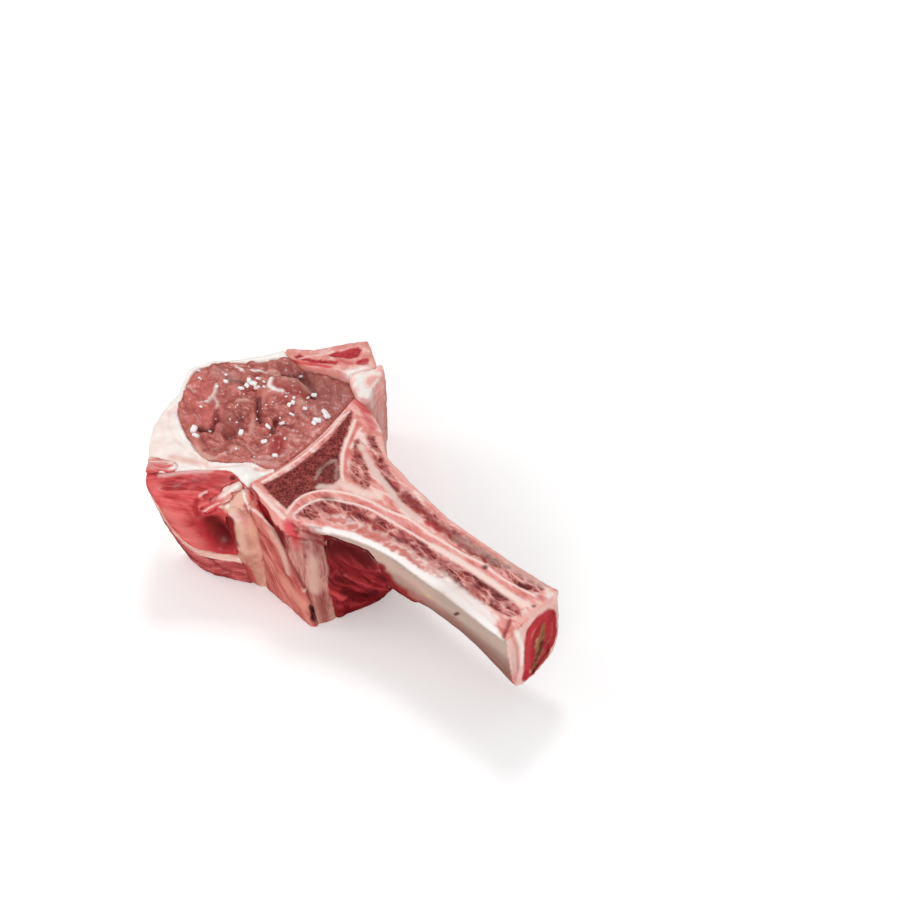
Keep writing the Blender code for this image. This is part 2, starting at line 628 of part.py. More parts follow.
def feather_fat_top(x, y):
    """Height of the fat on the feather bone's side, falling towards the vertebra."""
    return THICKNESS + FEATHER_RISE * min(max((-29.5 - x) / 6.0, 0.1), 0.95)


def feather_fat(name="feather_fat", extra=0.0):
    """Fat on the feather bone's side, down to the floor."""
    piece = prism(name, FEATHER_FAT, BELOW if extra else 0, 0, extra, feather_fat_top)
    if extra:
        return piece
    return keep_largest(carve(piece, feather("cut", GAP), through(VERTEBRA)))


def feather_channel(name, outline, extra=0.0):
    """Marrow set into the feather bone's sawn face."""
    ring = widened(closed_curve(outline), extra)
    rings = []
    for rise in (-FEATHER_CHANNEL_DEPTH - extra, 3.0 if extra else 0.0):
        rings.append([place(p.x, p.y, feather_top(p.x, p.y) + rise) for p in ring])
    return loft(name, rings)


def feather_bone():
    """The feather bone, with hollows for its marrow."""
    piece = feather("feather_bone")
    return carve(piece, feather_channel("cut", FEATHER_LINE, GAP),
                 feather_channel("cut", FEATHER_WIDE, GAP), feather_channel("cut", FEATHER_SMALL, GAP))


def paint(piece):
    """Give a piece its own material."""
    colour, roughness = FINISHES[piece.name]
    material = bpy.data.materials.new(piece.name)
    material.use_nodes = True
    shader = material.node_tree.nodes["Principled BSDF"]
    shader.inputs["Base Color"].default_value = (*colour, 1)
    shader.inputs["Roughness"].default_value = roughness
    shader.inputs["Metallic"].default_value = 0.0
    piece.data.materials.clear()
    piece.data.materials.append(material)


def main():
    """Build every piece of the cutlet."""
    clear_scene()
    channel = THICKNESS - CHANNEL_DEPTH
    pieces = [
        eye_muscle(), fat_cap(), strip_muscle(), flap_muscle(), flap_fat(), flap_lower_muscle(),
        fat_slab(), tendon_band(), keep_largest(carve(lamella("lamella"), stack("cut", SLAB, GAP))),
        slit_meat(), chine_column(), intercostal_meat(), bone(),
        prism("body_marrow", BODY_CORE, 0, THICKNESS), prism("mid_marrow", MID_CORE, channel, THICKNESS),
        prism("near_marrow", NEAR_CORE, channel, THICKNESS),
        prism("far_marrow", FAR_CORE, channel, THICKNESS), end_marrow(),
        end_plug("end_core", END_CORE, END_PLUG_DEPTH - 1), feather_bone(), feather_fat(),
        feather_channel("feather_marrow_line", FEATHER_LINE),
        feather_channel("feather_marrow_wide", FEATHER_WIDE),
        feather_channel("feather_marrow_small", FEATHER_SMALL),
    ]
    for piece in pieces:
        paint(piece)


main()
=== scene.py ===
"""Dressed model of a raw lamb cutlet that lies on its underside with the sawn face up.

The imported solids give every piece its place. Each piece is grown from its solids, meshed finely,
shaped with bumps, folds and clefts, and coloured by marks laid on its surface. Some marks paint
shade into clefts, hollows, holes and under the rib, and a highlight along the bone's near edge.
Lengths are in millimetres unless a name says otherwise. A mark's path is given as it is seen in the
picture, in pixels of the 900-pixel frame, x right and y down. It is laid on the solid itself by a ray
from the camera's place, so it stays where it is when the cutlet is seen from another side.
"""
import logging
import math
import random
from dataclasses import dataclass
from enum import Enum

import bmesh
import bpy
import numpy as np
from mathutils import Matrix, Vector, noise
from mathutils.bvhtree import BVHTree


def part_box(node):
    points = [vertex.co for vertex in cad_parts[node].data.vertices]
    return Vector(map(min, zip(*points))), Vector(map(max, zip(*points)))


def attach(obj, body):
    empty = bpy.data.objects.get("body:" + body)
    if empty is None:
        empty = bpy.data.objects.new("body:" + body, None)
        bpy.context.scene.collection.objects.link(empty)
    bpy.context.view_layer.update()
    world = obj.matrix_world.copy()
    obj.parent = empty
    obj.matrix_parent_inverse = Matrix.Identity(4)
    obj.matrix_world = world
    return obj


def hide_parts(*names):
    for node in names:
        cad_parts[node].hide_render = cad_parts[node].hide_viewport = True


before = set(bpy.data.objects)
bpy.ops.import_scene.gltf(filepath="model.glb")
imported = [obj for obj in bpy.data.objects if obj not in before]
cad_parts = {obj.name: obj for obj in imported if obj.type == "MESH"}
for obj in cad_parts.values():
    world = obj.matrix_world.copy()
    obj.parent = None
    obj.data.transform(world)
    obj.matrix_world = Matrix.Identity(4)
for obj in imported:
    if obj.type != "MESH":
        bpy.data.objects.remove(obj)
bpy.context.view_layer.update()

MM = 0.001
PER_METRE = 1000.0               # millimetres in a metre
SAWN_FACE = 36.0                 # height of the sawn face above the floor
WELD = 1e-6                      # points closer than this are one, in metres
TINY = 1e-9                      # keeps a division from one by zero
Path = tuple[tuple[float, float], ...]
Triple = tuple[float, float, float]
Span = tuple[float, float]
logging.basicConfig(level=logging.INFO, format="%(name)s: %(message)s")
log = logging.getLogger("cutlet")


class Tone(Enum):
    """Colours of the cutlet and of painted shade and highlights, as display values from 0 to 255."""

    WHITE_FAT = (255, 249, 243)
    CREAM_FAT = (255, 248, 242)
    BLUSH_FAT = (254, 228, 220)
    SALMON = (228, 150, 130)
    MEMBRANE = (240, 214, 204)
    FILM = (222, 168, 156)
    EYE_LIGHT = (220, 138, 126)
    EYE = (190, 98, 88)
    EYE_DEEP = (146, 56, 50)
    EYE_PALE_END = (158, 94, 86)
    # Painted shade in clefts and grooves; also the colour of small dark spots and a vessel.
    CLEFT_SHADE_AND_DOT = (96, 18, 18)
    FLAP_LIGHT = (238, 116, 112)
    FLAP = (220, 78, 80)
    FLAP_DEEP = (172, 38, 42)
    # Painted shade in hollows.
    HOLLOW_SHADE = (106, 10, 14)
    STRIP = (222, 118, 112)
    LOWER_LIGHT = (222, 122, 118)
    LOWER = (190, 78, 76)
    LOWER_DEEP = (138, 46, 46)
    SLAB_LIGHT = (232, 186, 164)
    SLAB = (212, 154, 132)
    SLAB_DEEP = (194, 122, 106)
    LAMELLA_LIGHT = (228, 146, 134)
    LAMELLA = (206, 106, 96)
    LAMELLA_DEEP = (170, 66, 62)
    MAROON = (146, 26, 30)
    MAROON_DEEP = (82, 6, 10)
    RED_STAIN = (206, 62, 70)
    BRIGHT_STAIN = (226, 84, 92)
    COLUMN_LIGHT = (216, 170, 154)
    COLUMN = (202, 134, 122)
    COLUMN_DEEP = (150, 70, 64)
    RIB_MEAT = (136, 20, 26)
    RIB_MEAT_LIGHT = (166, 48, 52)
    RIB_MEAT_DEEP = (92, 12, 16)
    BONE_LIGHT = (250, 222, 212)
    BONE = (238, 162, 152)
    BONE_DEEP = (212, 112, 102)
    BONE_PINK = (220, 108, 100)
    RIM_PINK = (242, 182, 170)
    GREY_LINE = (232, 200, 190)
    # White of the bone's edge and of fat, with a painted highlight along the bone's near edge.
    WHITE_AND_HIGHLIGHT = (254, 246, 242)
    WALL_GREY = (174, 160, 150)
    WALL_BEIGE = (198, 168, 154)
    WALL_BROWN = (180, 122, 112)
    WALL_SHADE = (170, 152, 140)
    # Painted shade for the low part of the rib's wall.
    WALL_LOW_SHADE = (142, 94, 84)
    SPONGY = (136, 40, 34)
    SPONGY_DEEP = (92, 14, 12)
    SPONGY_PALE = (182, 88, 80)
    CLUMP = (146, 38, 36)
    CLUMP_DEEP = (104, 20, 18)
    CLUMP_PINK = (184, 78, 72)
    WEB = (242, 184, 172)
    CLUMP_GREY = (186, 152, 142)
    END_RED = (186, 40, 48)
    END_TAN = (166, 106, 70)
    END_BROWN = (94, 38, 28)
    FEATHER_PINK = (240, 158, 148)
    FEATHER_LIGHT = (248, 200, 190)
    OCHRE = (206, 178, 132)
    # Painted shade in holes.
    HOLE_SHADE = (46, 8, 8)

    def linear(self) -> tuple[float, ...]:
        """Return the colour as linear values from 0 to 1."""
        return tuple((v / 12.92 if v <= 0.04045 else ((v + 0.055) / 1.055) ** 2.4)
                     for v in (part / 255 for part in self.value))


class Pattern(Enum):
    """Ways in which a finish varies over its surface."""

    FLESH = "flesh"
    FIBRE = "fibre"
    FAT = "fat"
    BONE = "bone"


def clouds(points: np.ndarray, reach: float | Triple, shift: float = 0.0, octaves: int = 1) -> np.ndarray:
    """Smooth noise at points.

    Args:
        points: Places, one row each.
        reach: Size of the noise's bumps, the same or one for each axis.
        shift: Moves to another part of the noise.
        octaves: Number of ever finer layers.

    Returns:
        One value for each point, mostly between -1 and 1.
    """
    spots = (points / np.asarray(reach, float) + shift).tolist()
    if octaves == 1:
        return np.array([noise.noise(spot) for spot in spots])
    return np.array([noise.fractal(spot, 0.7, 2.0, octaves) for spot in spots])


def eased(values: np.ndarray) -> np.ndarray:
    """Clip values to 0 to 1 and ease them at both ends."""
    clipped = np.clip(values, 0.0, 1.0)
    return clipped * clipped * (3.0 - 2.0 * clipped)


def fade(values: np.ndarray, span: Span) -> np.ndarray:
    """Return 0 up to the start of a span, which may run down, and 1 beyond its end."""
    return eased((values - span[0]) / (span[1] - span[0]))


def distance_to_path(points: np.ndarray, path: np.ndarray) -> np.ndarray:
    """Distance from points to the nearest place of a path.

    Args:
        points: Places, one row each.
        path: The path's corners, one row each.

    Returns:
        One distance for each point.
    """
    nearest = np.linalg.norm(points - path[0], axis=1)
    for start, end in zip(path[:-1], path[1:]):
        run = end - start
        share = np.clip(((points - start) @ run) / max(float(run @ run), TINY), 0.0, 1.0)
        nearest = np.minimum(nearest, np.linalg.norm(points - start - share[:, None] * run, axis=1))
    return nearest


def rounded(path: Path, steps: int = 4) -> list[tuple[float, float]]:
    """Put a smooth curve through the points of a path in the picture.

    Args:
        path: The drawn points.
        steps: Number of places from one drawn point to the next.

    Returns:
        The curve's points.
    """
    if len(path) < 3:
        return list(path)
    ends = [path[0], *path, path[-1]]
    curve = []
    for a, b, c, d in zip(ends, ends[1:], ends[2:], ends[3:]):
        for step in range(steps):
            t = step / steps
            curve.append(tuple(0.5 * (2 * q + (r - p) * t + (2 * p - 5 * q + 4 * r - s) * t * t
                                      + (3 * q - p - 3 * r + s) * t ** 3)
                               for p, q, r, s in zip(a, b, c, d)))
    return curve + [path[-1]]


@dataclass(frozen=True)
class Sight:
    """The camera's place, and the way from a pixel of the picture to the cutlet.

    Attributes:
        azimuth: Its direction round the cutlet, in degrees.
        elevation: Its height above the horizon, in degrees.
        lens: Its focal length.
        sensor: Width of its sensor.
        picture: Width of the picture, in pixels.
        distance: How far it is from the target.
        target: Place on the cutlet.
        target_pixel: Where that place is seen in the picture.
        clip: Nearest and furthest distance seen, in metres.
        search_step: Spacing of the places along a ray that misses its surface.
        search_span: First and last of those places, in steps from the target's distance.
    """

    azimuth: float = 47.5
    elevation: float = 45.0
    lens: float = 85.0
    sensor: float = 36.0
    picture: float = 900.0
    distance: float = 625.0
    target: Triple = (3.2, -2.4, 36.0)
    target_pixel: tuple[float, float] = (355.0, 500.0)
    clip: tuple[float, float] = (0.01, 20.0)
    search_step: float = 1.5
    search_span: tuple[int, int] = (-86, 88)

    def axes(self) -> tuple[Vector, Vector, Vector]:
        """Work out how the camera is turned.

        Returns:
            Its right, up and backward directions.
        """
        turn, lift = math.radians(self.azimuth), math.radians(self.elevation)
        back = Vector((math.sin(turn) * math.cos(lift), -math.cos(turn) * math.cos(lift),
                       math.sin(lift)))
        right = Vector((math.cos(turn), math.sin(turn), 0.0))
        return right, back.cross(right), back

    def slope(self, pixel: tuple[float, float]) -> tuple[float, float]:
        """Work out how far a pixel lies off the picture's middle.

        Args:
            pixel: Place in the picture.

        Returns:
            How far it lies right and up of the middle, for each unit of depth.
        """
        scale = self.lens / self.sensor * self.picture
        middle = self.picture / 2
        return (pixel[0] - middle) / scale, (middle - pixel[1]) / scale

    def place(self) -> Vector:
        """Work out where the camera is.

        Returns:
            Its place, in millimetres.
        """
        right, up, back = self.axes()
        across, above = self.slope(self.target_pixel)
        return Vector(self.target) + self.distance * (back - right * across - up * above)

    def ray(self, pixel: tuple[float, float]) -> Vector:
        """Work out in which direction a pixel is seen.

        Args:
            pixel: Place in the picture.

        Returns:
            The direction, of length 1.
        """
        right, up, back = self.axes()
        across, above = self.slope(pixel)
        return (right * across + up * above - back).normalized()

    def touch(self, surface: BVHTree, pixel: tuple[float, float]) -> np.ndarray:
        """Find where a pixel is seen on a surface.

        Args:
            surface: The surface, in millimetres.
            pixel: Place in the picture.

        Returns:
            The point hit, or the surface's nearest point to the ray where it passes by.
        """
        start, along = self.place(), self.ray(pixel)
        hit = surface.ray_cast(start, along)[0]
        if hit is None:
            reaches = [self.distance + self.search_step * step for step in range(*self.search_span)]
            found = [surface.find_nearest(start + along * reach) for reach in reaches]
            hit = min(found, key=lambda near: near[3])[0]
        return np.array(hit)

    def set_camera(self) -> None:
        """Make the camera and look through it."""
        right, up, back = self.axes()
        data = bpy.data.cameras.new("camera")
        data.lens, data.sensor_width = self.lens, self.sensor
        data.clip_start, data.clip_end = self.clip
        camera = bpy.data.objects.new("camera", data)
        turned = Matrix((right, up, back)).transposed().to_4x4()
        camera.matrix_world = Matrix.Translation(self.place() * MM) @ turned
        bpy.context.scene.collection.objects.link(camera)
        bpy.context.scene.camera = camera


SIGHT = Sight()


@dataclass(frozen=True)
class Mark:
    """A line or spot of colour and relief on a piece.

    Attributes:
        path: Its course in the picture.
        width: Its full width.
        tone: Its colour, or None for relief alone.
        cover: How much of what lies below it hides.
        rise: Height of its middle, below zero for a groove.
        soft: Share of the width that fades out.
        wander: How far its edges stray.
    """

    path: Path
    width: float
    tone: Tone | None = None
    cover: float = 1.0
    rise: float = 0.0
    soft: float = 0.6
    wander: float = 0.15


class Graph:
    """Short ways to add and link the nodes of a material."""

    def __init__(self, name: str) -> None:
        """Start an empty material with its shader.

        Args:
            name: The material's name.
        """
        self.material = bpy.data.materials.new(name)
        self.material.use_nodes = True
        self.tree = self.material.node_tree
        self.shader = self.tree.nodes["Principled BSDF"]

    def add(self, kind: str, **settings: object) -> bpy.types.Node:
        """Add a node and set its properties.

        Args:
            kind: The node's type.
            **settings: Values for its properties.

        Returns:
            The node.
        """
        node = self.tree.nodes.new(kind)
        for key, value in settings.items():
            setattr(node, key, value)
        return node

    def link(self, source: bpy.types.NodeSocket, target: bpy.types.NodeSocket) -> None:
        """Link two sockets."""
        self.tree.links.new(source, target)

    def coordinates(self, stretch: Triple = (1.0, 1.0, 1.0),
                    turn: Triple = (0.0, 0.0, 0.0)) -> bpy.types.NodeSocket:
        """Coordinates in millimetres, turned and stretched.

        Args:
            stretch: How much longer the pattern is along each turned axis.
            turn: Turn about each axis, in degrees.

        Returns:
            The socket with the coordinates.
        """
        where = self.add("ShaderNodeTexCoord")
        turned = self.add("ShaderNodeMapping")
        turned.inputs["Rotation"].default_value = [math.radians(angle) for angle in turn]
        self.link(where.outputs["Object"], turned.inputs["Vector"])
        scaled = self.add("ShaderNodeMapping")
        scaled.inputs["Scale"].default_value = [PER_METRE / part for part in stretch]
        self.link(turned.outputs["Vector"], scaled.inputs["Vector"])
        return scaled.outputs["Vector"]

    def attribute(self, name: str) -> bpy.types.NodeSocket:
        """Value of a mesh attribute."""
        return self.add("ShaderNodeAttribute", attribute_name=name).outputs["Fac"]

    def noise(self, where: bpy.types.NodeSocket, reach: float, detail: float = 3.0,
              distortion: float = 0.0) -> bpy.types.NodeSocket:
        """Add a noise texture.

        Args:
            where: Coordinates.
            reach: Size of its bumps.
            detail: Number of ever finer layers.
            distortion: How much it is bent.

        Returns:
            Its value.
        """
        made = self.add("ShaderNodeTexNoise")
        made.inputs["Scale"].default_value = 1.0 / reach
        made.inputs["Detail"].default_value = detail
        made.inputs["Distortion"].default_value = distortion
        self.link(where, made.inputs["Vector"])
        return made.outputs["Fac"]

    def cells(self, where: bpy.types.NodeSocket, reach: float) -> bpy.types.NodeSocket:
        """Divide space into cells.

        Args:
            where: Coordinates.
            reach: Size of a cell.

        Returns:
            The distance from the cells' walls.
        """
        made = self.add("ShaderNodeTexVoronoi", feature="DISTANCE_TO_EDGE")
        made.inputs["Scale"].default_value = 1.0 / reach
        self.link(where, made.inputs["Vector"])
        return made.outputs["Distance"]

    def bent(self, where: bpy.types.NodeSocket, reach: float, amount: float) -> bpy.types.NodeSocket:
        """Move coordinates about by noise, so that what they carry bends.

        Args:
            where: Coordinates.
            reach: Size of the noise's bumps.
            amount: How far they move.

        Returns:
            The moved coordinates.
        """
        made = self.add("ShaderNodeTexNoise")
        made.inputs["Scale"].default_value = 1.0 / reach
        self.link(where, made.inputs["Vector"])
        moved = self.add("ShaderNodeVectorMath", operation="MULTIPLY_ADD")
        moved.inputs[1].default_value = (amount,) * 3
        self.link(made.outputs["Color"], moved.inputs[0])
        self.link(where, moved.inputs[2])
        return moved.outputs[0]

    def ramp(self, value: bpy.types.NodeSocket,
             stops: tuple[tuple[float, Triple], ...]) -> bpy.types.NodeSocket:
        """Turn a value into a colour.

        Args:
            value: What is turned into a colour.
            stops: Pairs of value and linear colour.

        Returns:
            The colour.
        """
        made = self.add("ShaderNodeValToRGB")
        elements = made.color_ramp.elements
        while len(elements) < len(stops):
            elements.new(0.5)
        while len(elements) > len(stops):
            elements.remove(elements[-1])
        for element, (position, colour) in zip(elements, stops):
            element.position, element.color = position, (*colour, 1.0)
        self.link(value, made.inputs["Fac"])
        return made.outputs["Color"]

    def mix(self, share: bpy.types.NodeSocket | float, first: bpy.types.NodeSocket,
            second: bpy.types.NodeSocket, blend: str = "MIX") -> bpy.types.NodeSocket:
        """Mix two colours.

        Args:
            share: Share of the second.
            first: Colour below.
            second: Colour above.
            blend: The way they mix.

        Returns:
            The mixed colour.
        """
        made = self.add("ShaderNodeMix", data_type="RGBA", blend_type=blend)
        if isinstance(share, float):
            made.inputs[0].default_value = share
        else:
            self.link(share, made.inputs[0])
        self.link(first, made.inputs[6])
        self.link(second, made.inputs[7])
        return made.outputs[2]

    def sums(self, first: bpy.types.NodeSocket, second: bpy.types.NodeSocket,
             share: float) -> bpy.types.NodeSocket:
        """Add a share of one value to another.

        Args:
            first: Value that is kept whole.
            second: Value of which a share is added.
            share: That share.

        Returns:
            The sum.
        """
        made = self.add("ShaderNodeMath", operation="MULTIPLY_ADD")
        made.inputs[1].default_value = share
        self.link(second, made.inputs[0])
        self.link(first, made.inputs[2])
        return made.outputs[0]

    def spread(self, value: bpy.types.NodeSocket, low: float, high: float) -> bpy.types.NodeSocket:
        """Map 0 to 1 onto another span.

        Args:
            value: What is mapped.
            low: What 0 turns into.
            high: What 1 turns into.

        Returns:
            The mapped value.
        """
        made = self.add("ShaderNodeMapRange")
        made.inputs["To Min"].default_value, made.inputs["To Max"].default_value = low, high
        self.link(value, made.inputs["Value"])
        return made.outputs["Result"]


# Every finish: share of the fine grain in its colour, values of the noise at which its tones
# stand, brightness from dark to light grain, and how far its roughness varies.
FINE_SHARE = {Pattern.FLESH: 0.55, Pattern.FIBRE: 0.6, Pattern.FAT: 0.3, Pattern.BONE: 0.45}
TONE_PLACES = (0.36, 0.5, 0.64)
SHADES = ((0.30, (0.80,) * 3), (0.5, (1.0,) * 3), (0.72, (1.12,) * 3))
ROUGHNESS_SPREAD = 0.10
COAT_ROUGHNESS = 0.2
UNDER_REACH, UNDER_DEPTH = (1.0, 0.6, 0.5), 1.2     # light under the surface: for red, green, blue

# Bundles of flesh: size in grains, shares in colour and relief, distances from a bundle's wall.
BUNDLE_SIZE, BUNDLE_COVER, BUNDLE_HEIGHT = 1.8, 0.3, 0.7
BUNDLE_PLACES = (0.0, 0.10, 0.4)

# Spongy bone: size and amount of its bends, size and detail of its changes, size of a pore,
# share of the distance from a pore's wall, and values at which its tones stand.
SPONGY_BEND, SPONGY_UNEVEN = (1.2, 0.6), (1.9, 3.0)
SPONGY_CELL, SPONGY_WALL = 1.0, -0.9
SPONGY_PLACES = (0.02, 0.16, 0.36)

# Rib marrow: clumps, patches in which threads are many, and pale threads. A noise is given by
# size, detail and distortion, a bend by size and amount.
MARROW_STRETCH = (2.2, 1.0, 1.0)
CLUMP_NOISE, CLUMP_PLACES = (2.6, 4.0, 0.5), (0.40, 0.50, 0.64)
PATCH_NOISE, PATCH_PLACES, PATCH_LEAST = (3.2, 2.0), (0.38, 0.6), 0.15
THREAD_BEND, THREAD_PLACES = (1.6, 1.5), (0.04, 0.15)
THREADS = ((2.9, 0.95), (1.4, 0.55))                # mesh width and strength of the threads
PALE_PLACES = (0.35, 0.6)


@dataclass(frozen=True)
class Finish:
    """Surface of one kind of tissue.

    Attributes:
        name: Name of the material.
        tones: Its deep, middle and light colours.
        pattern: How it varies.
        blotch: Size of its broad changes of colour.
        grain: Size of its fine grain.
        stretch: How much longer the pattern is along each turned axis.
        turn: Turn of the pattern about each axis, in degrees.
        depth: Depth of the fine relief.
        mottle: Strength of its fine changes of brightness.
        roughness: Its middle roughness.
        shine: Strength of its own reflection.
        wet: Strength of the film of moisture on it.
        glow: Strength of the light that passes under the surface.
    """

    name: str
    tones: tuple[Tone, Tone, Tone]
    pattern: Pattern = Pattern.FLESH
    blotch: float = 6.0
    grain: float = 0.9
    stretch: Triple = (1.0, 1.0, 1.0)
    turn: Triple = (0.0, 0.0, 0.0)
    depth: float = 0.12
    mottle: float = 0.4
    roughness: float = 0.42
    shine: float = 0.4
    wet: float = 0.25
    glow: float = 0.10

    def material(self) -> bpy.types.Material:
        """Make the material with its nodes.

        Returns:
            The material.
        """
        graph = Graph(self.name)
        where = graph.coordinates(self.stretch, self.turn)
        broad = graph.noise(where, self.blotch, 3.0, 0.4)
        fine = graph.noise(where, self.grain, 5.0)
        deep, middle, light = (tone.linear() for tone in self.tones)
        share = FINE_SHARE[self.pattern]
        value = graph.spread(graph.sums(broad, fine, share), 0.0, 1.0 / (1.0 + share))
        colour = graph.ramp(value, tuple(zip(TONE_PLACES, (deep, middle, light))))
        height = fine
        if self.pattern is Pattern.FLESH:
            bundles = graph.cells(where, self.grain * BUNDLE_SIZE)
            walls = graph.ramp(bundles, tuple(zip(BUNDLE_PLACES, (light, middle, middle))))
            colour = graph.mix(BUNDLE_COVER, colour, walls)
            height = graph.sums(fine, bundles, BUNDLE_HEIGHT)
        colour = graph.mix(self.mottle, colour, graph.ramp(fine, SHADES), "MULTIPLY")
        colour = self.marked(graph, colour)
        graph.link(colour, graph.shader.inputs["Base Color"])
        bump = graph.add("ShaderNodeBump")
        bump.inputs["Strength"].default_value = 1.0
        bump.inputs["Distance"].default_value = self.depth * MM
        graph.link(height, bump.inputs["Height"])
        graph.link(bump.outputs["Normal"], graph.shader.inputs["Normal"])
        uneven = graph.spread(broad, self.roughness - ROUGHNESS_SPREAD, self.roughness + ROUGHNESS_SPREAD)
        graph.link(uneven, graph.shader.inputs["Roughness"])
        self.shine_and_glow(graph.shader)
        return graph.material

    def marked(self, graph: Graph, colour: bpy.types.NodeSocket) -> bpy.types.NodeSocket:
        """Lay the piece's spongy parts and then its marks over the tissue's colour.

        Args:
            graph: The material that is made.
            colour: The tissue's colour.

        Returns:
            The colour with all that lies on it.
        """
        if self.pattern is Pattern.BONE:
            colour = graph.mix(graph.attribute("pores"), colour, self.spongy(graph, graph.coordinates()))
            along = graph.coordinates(MARROW_STRETCH)
            colour = graph.mix(graph.attribute("web"), colour, self.webbed(graph, along))
        tint = graph.add("ShaderNodeAttribute", attribute_name="tint")
        below = graph.mix(tint.outputs["Alpha"], colour, graph.ramp(tint.outputs["Alpha"],
                                                                    ((0.0, (0.0,) * 3),)))
        return graph.mix(1.0, below, tint.outputs["Color"], "ADD")

    @staticmethod
    def spongy(graph: Graph, where: bpy.types.NodeSocket) -> bpy.types.NodeSocket:
        """Colour fine spongy bone: dark pores in a pinker lattice.

        Args:
            graph: The material that is made.
            where: Coordinates.

        Returns:
            The colour.
        """
        pores = graph.cells(graph.bent(where, *SPONGY_BEND), SPONGY_CELL)
        uneven = graph.noise(where, *SPONGY_UNEVEN)
        value = graph.sums(graph.spread(uneven, 0.0, 0.5), pores, SPONGY_WALL)
        tones = (Tone.SPONGY_DEEP.linear(), Tone.SPONGY.linear(), Tone.SPONGY_PALE.linear())
        return graph.ramp(value, tuple(zip(SPONGY_PLACES, tones)))

    @staticmethod
    def webbed(graph: Graph, where: bpy.types.NodeSocket) -> bpy.types.NodeSocket:
        """Colour rib marrow: red-brown clumps in a web of pale threads.

        Args:
            graph: The material that is made.
            where: Coordinates.

        Returns:
            The colour.
        """
        clumps = graph.noise(where, *CLUMP_NOISE)
        tones = (Tone.CLUMP_DEEP.linear(), Tone.CLUMP.linear(), Tone.CLUMP_PINK.linear())
        colour = graph.ramp(clumps, tuple(zip(CLUMP_PLACES, tones)))
        bent = graph.bent(where, *THREAD_BEND)
        strengths = ((PATCH_LEAST,) * 3, (1.0,) * 3)
        patches = graph.ramp(graph.noise(where, *PATCH_NOISE), tuple(zip(PATCH_PLACES, strengths)))
        tones = (Tone.CLUMP_PINK.linear(), Tone.WEB.linear())
        pale = graph.ramp(clumps, tuple(zip(PALE_PLACES, tones)))
        for reach, strength in THREADS:
            strengths = ((strength,) * 3, (0.0,) * 3)
            thread = graph.ramp(graph.cells(bent, reach), tuple(zip(THREAD_PLACES, strengths)))
            colour = graph.mix(graph.mix(1.0, thread, patches, "MULTIPLY"), colour, pale)
        return colour

    def shine_and_glow(self, shader: bpy.types.Node) -> None:
        """Set the reflection, the film of moisture and the light under the surface.

        Args:
            shader: The material's shader.
        """
        shader.inputs["Specular IOR Level"].default_value = self.shine
        shader.inputs["Coat Weight"].default_value = self.wet
        shader.inputs["Coat Roughness"].default_value = COAT_ROUGHNESS
        shader.inputs["Subsurface Weight"].default_value = self.glow
        shader.inputs["Subsurface Radius"].default_value = UNDER_REACH
        shader.inputs["Subsurface Scale"].default_value = UNDER_DEPTH * MM


SHELL_LIMIT = 1.8                # most that a sharp corner moves out, in growths
CALM_FACTOR = 0.5                # strength of one smoothing
WANDER_SHARE, WANDER_LEAST = 0.8, 1.2       # size of an edge's waves: share of the mark's width, least
LEVEL_LEAST = 0.35               # how far up a face looks that a level mark stays on
UP_BLEND = 0.3                   # span over which facing up fades in
WAY_OUT = (0.31, 0.22, 0.92)     # direction in which a solid's walls are counted
PAST_WALL = 1e-3                 # step to get past a wall
WANDER_SHIFT = 3.7               # shift of the noise that an edge's waves are read from
BUMP_SHIFT = 11.3                # shift of the noise from one layer of bumps to the next


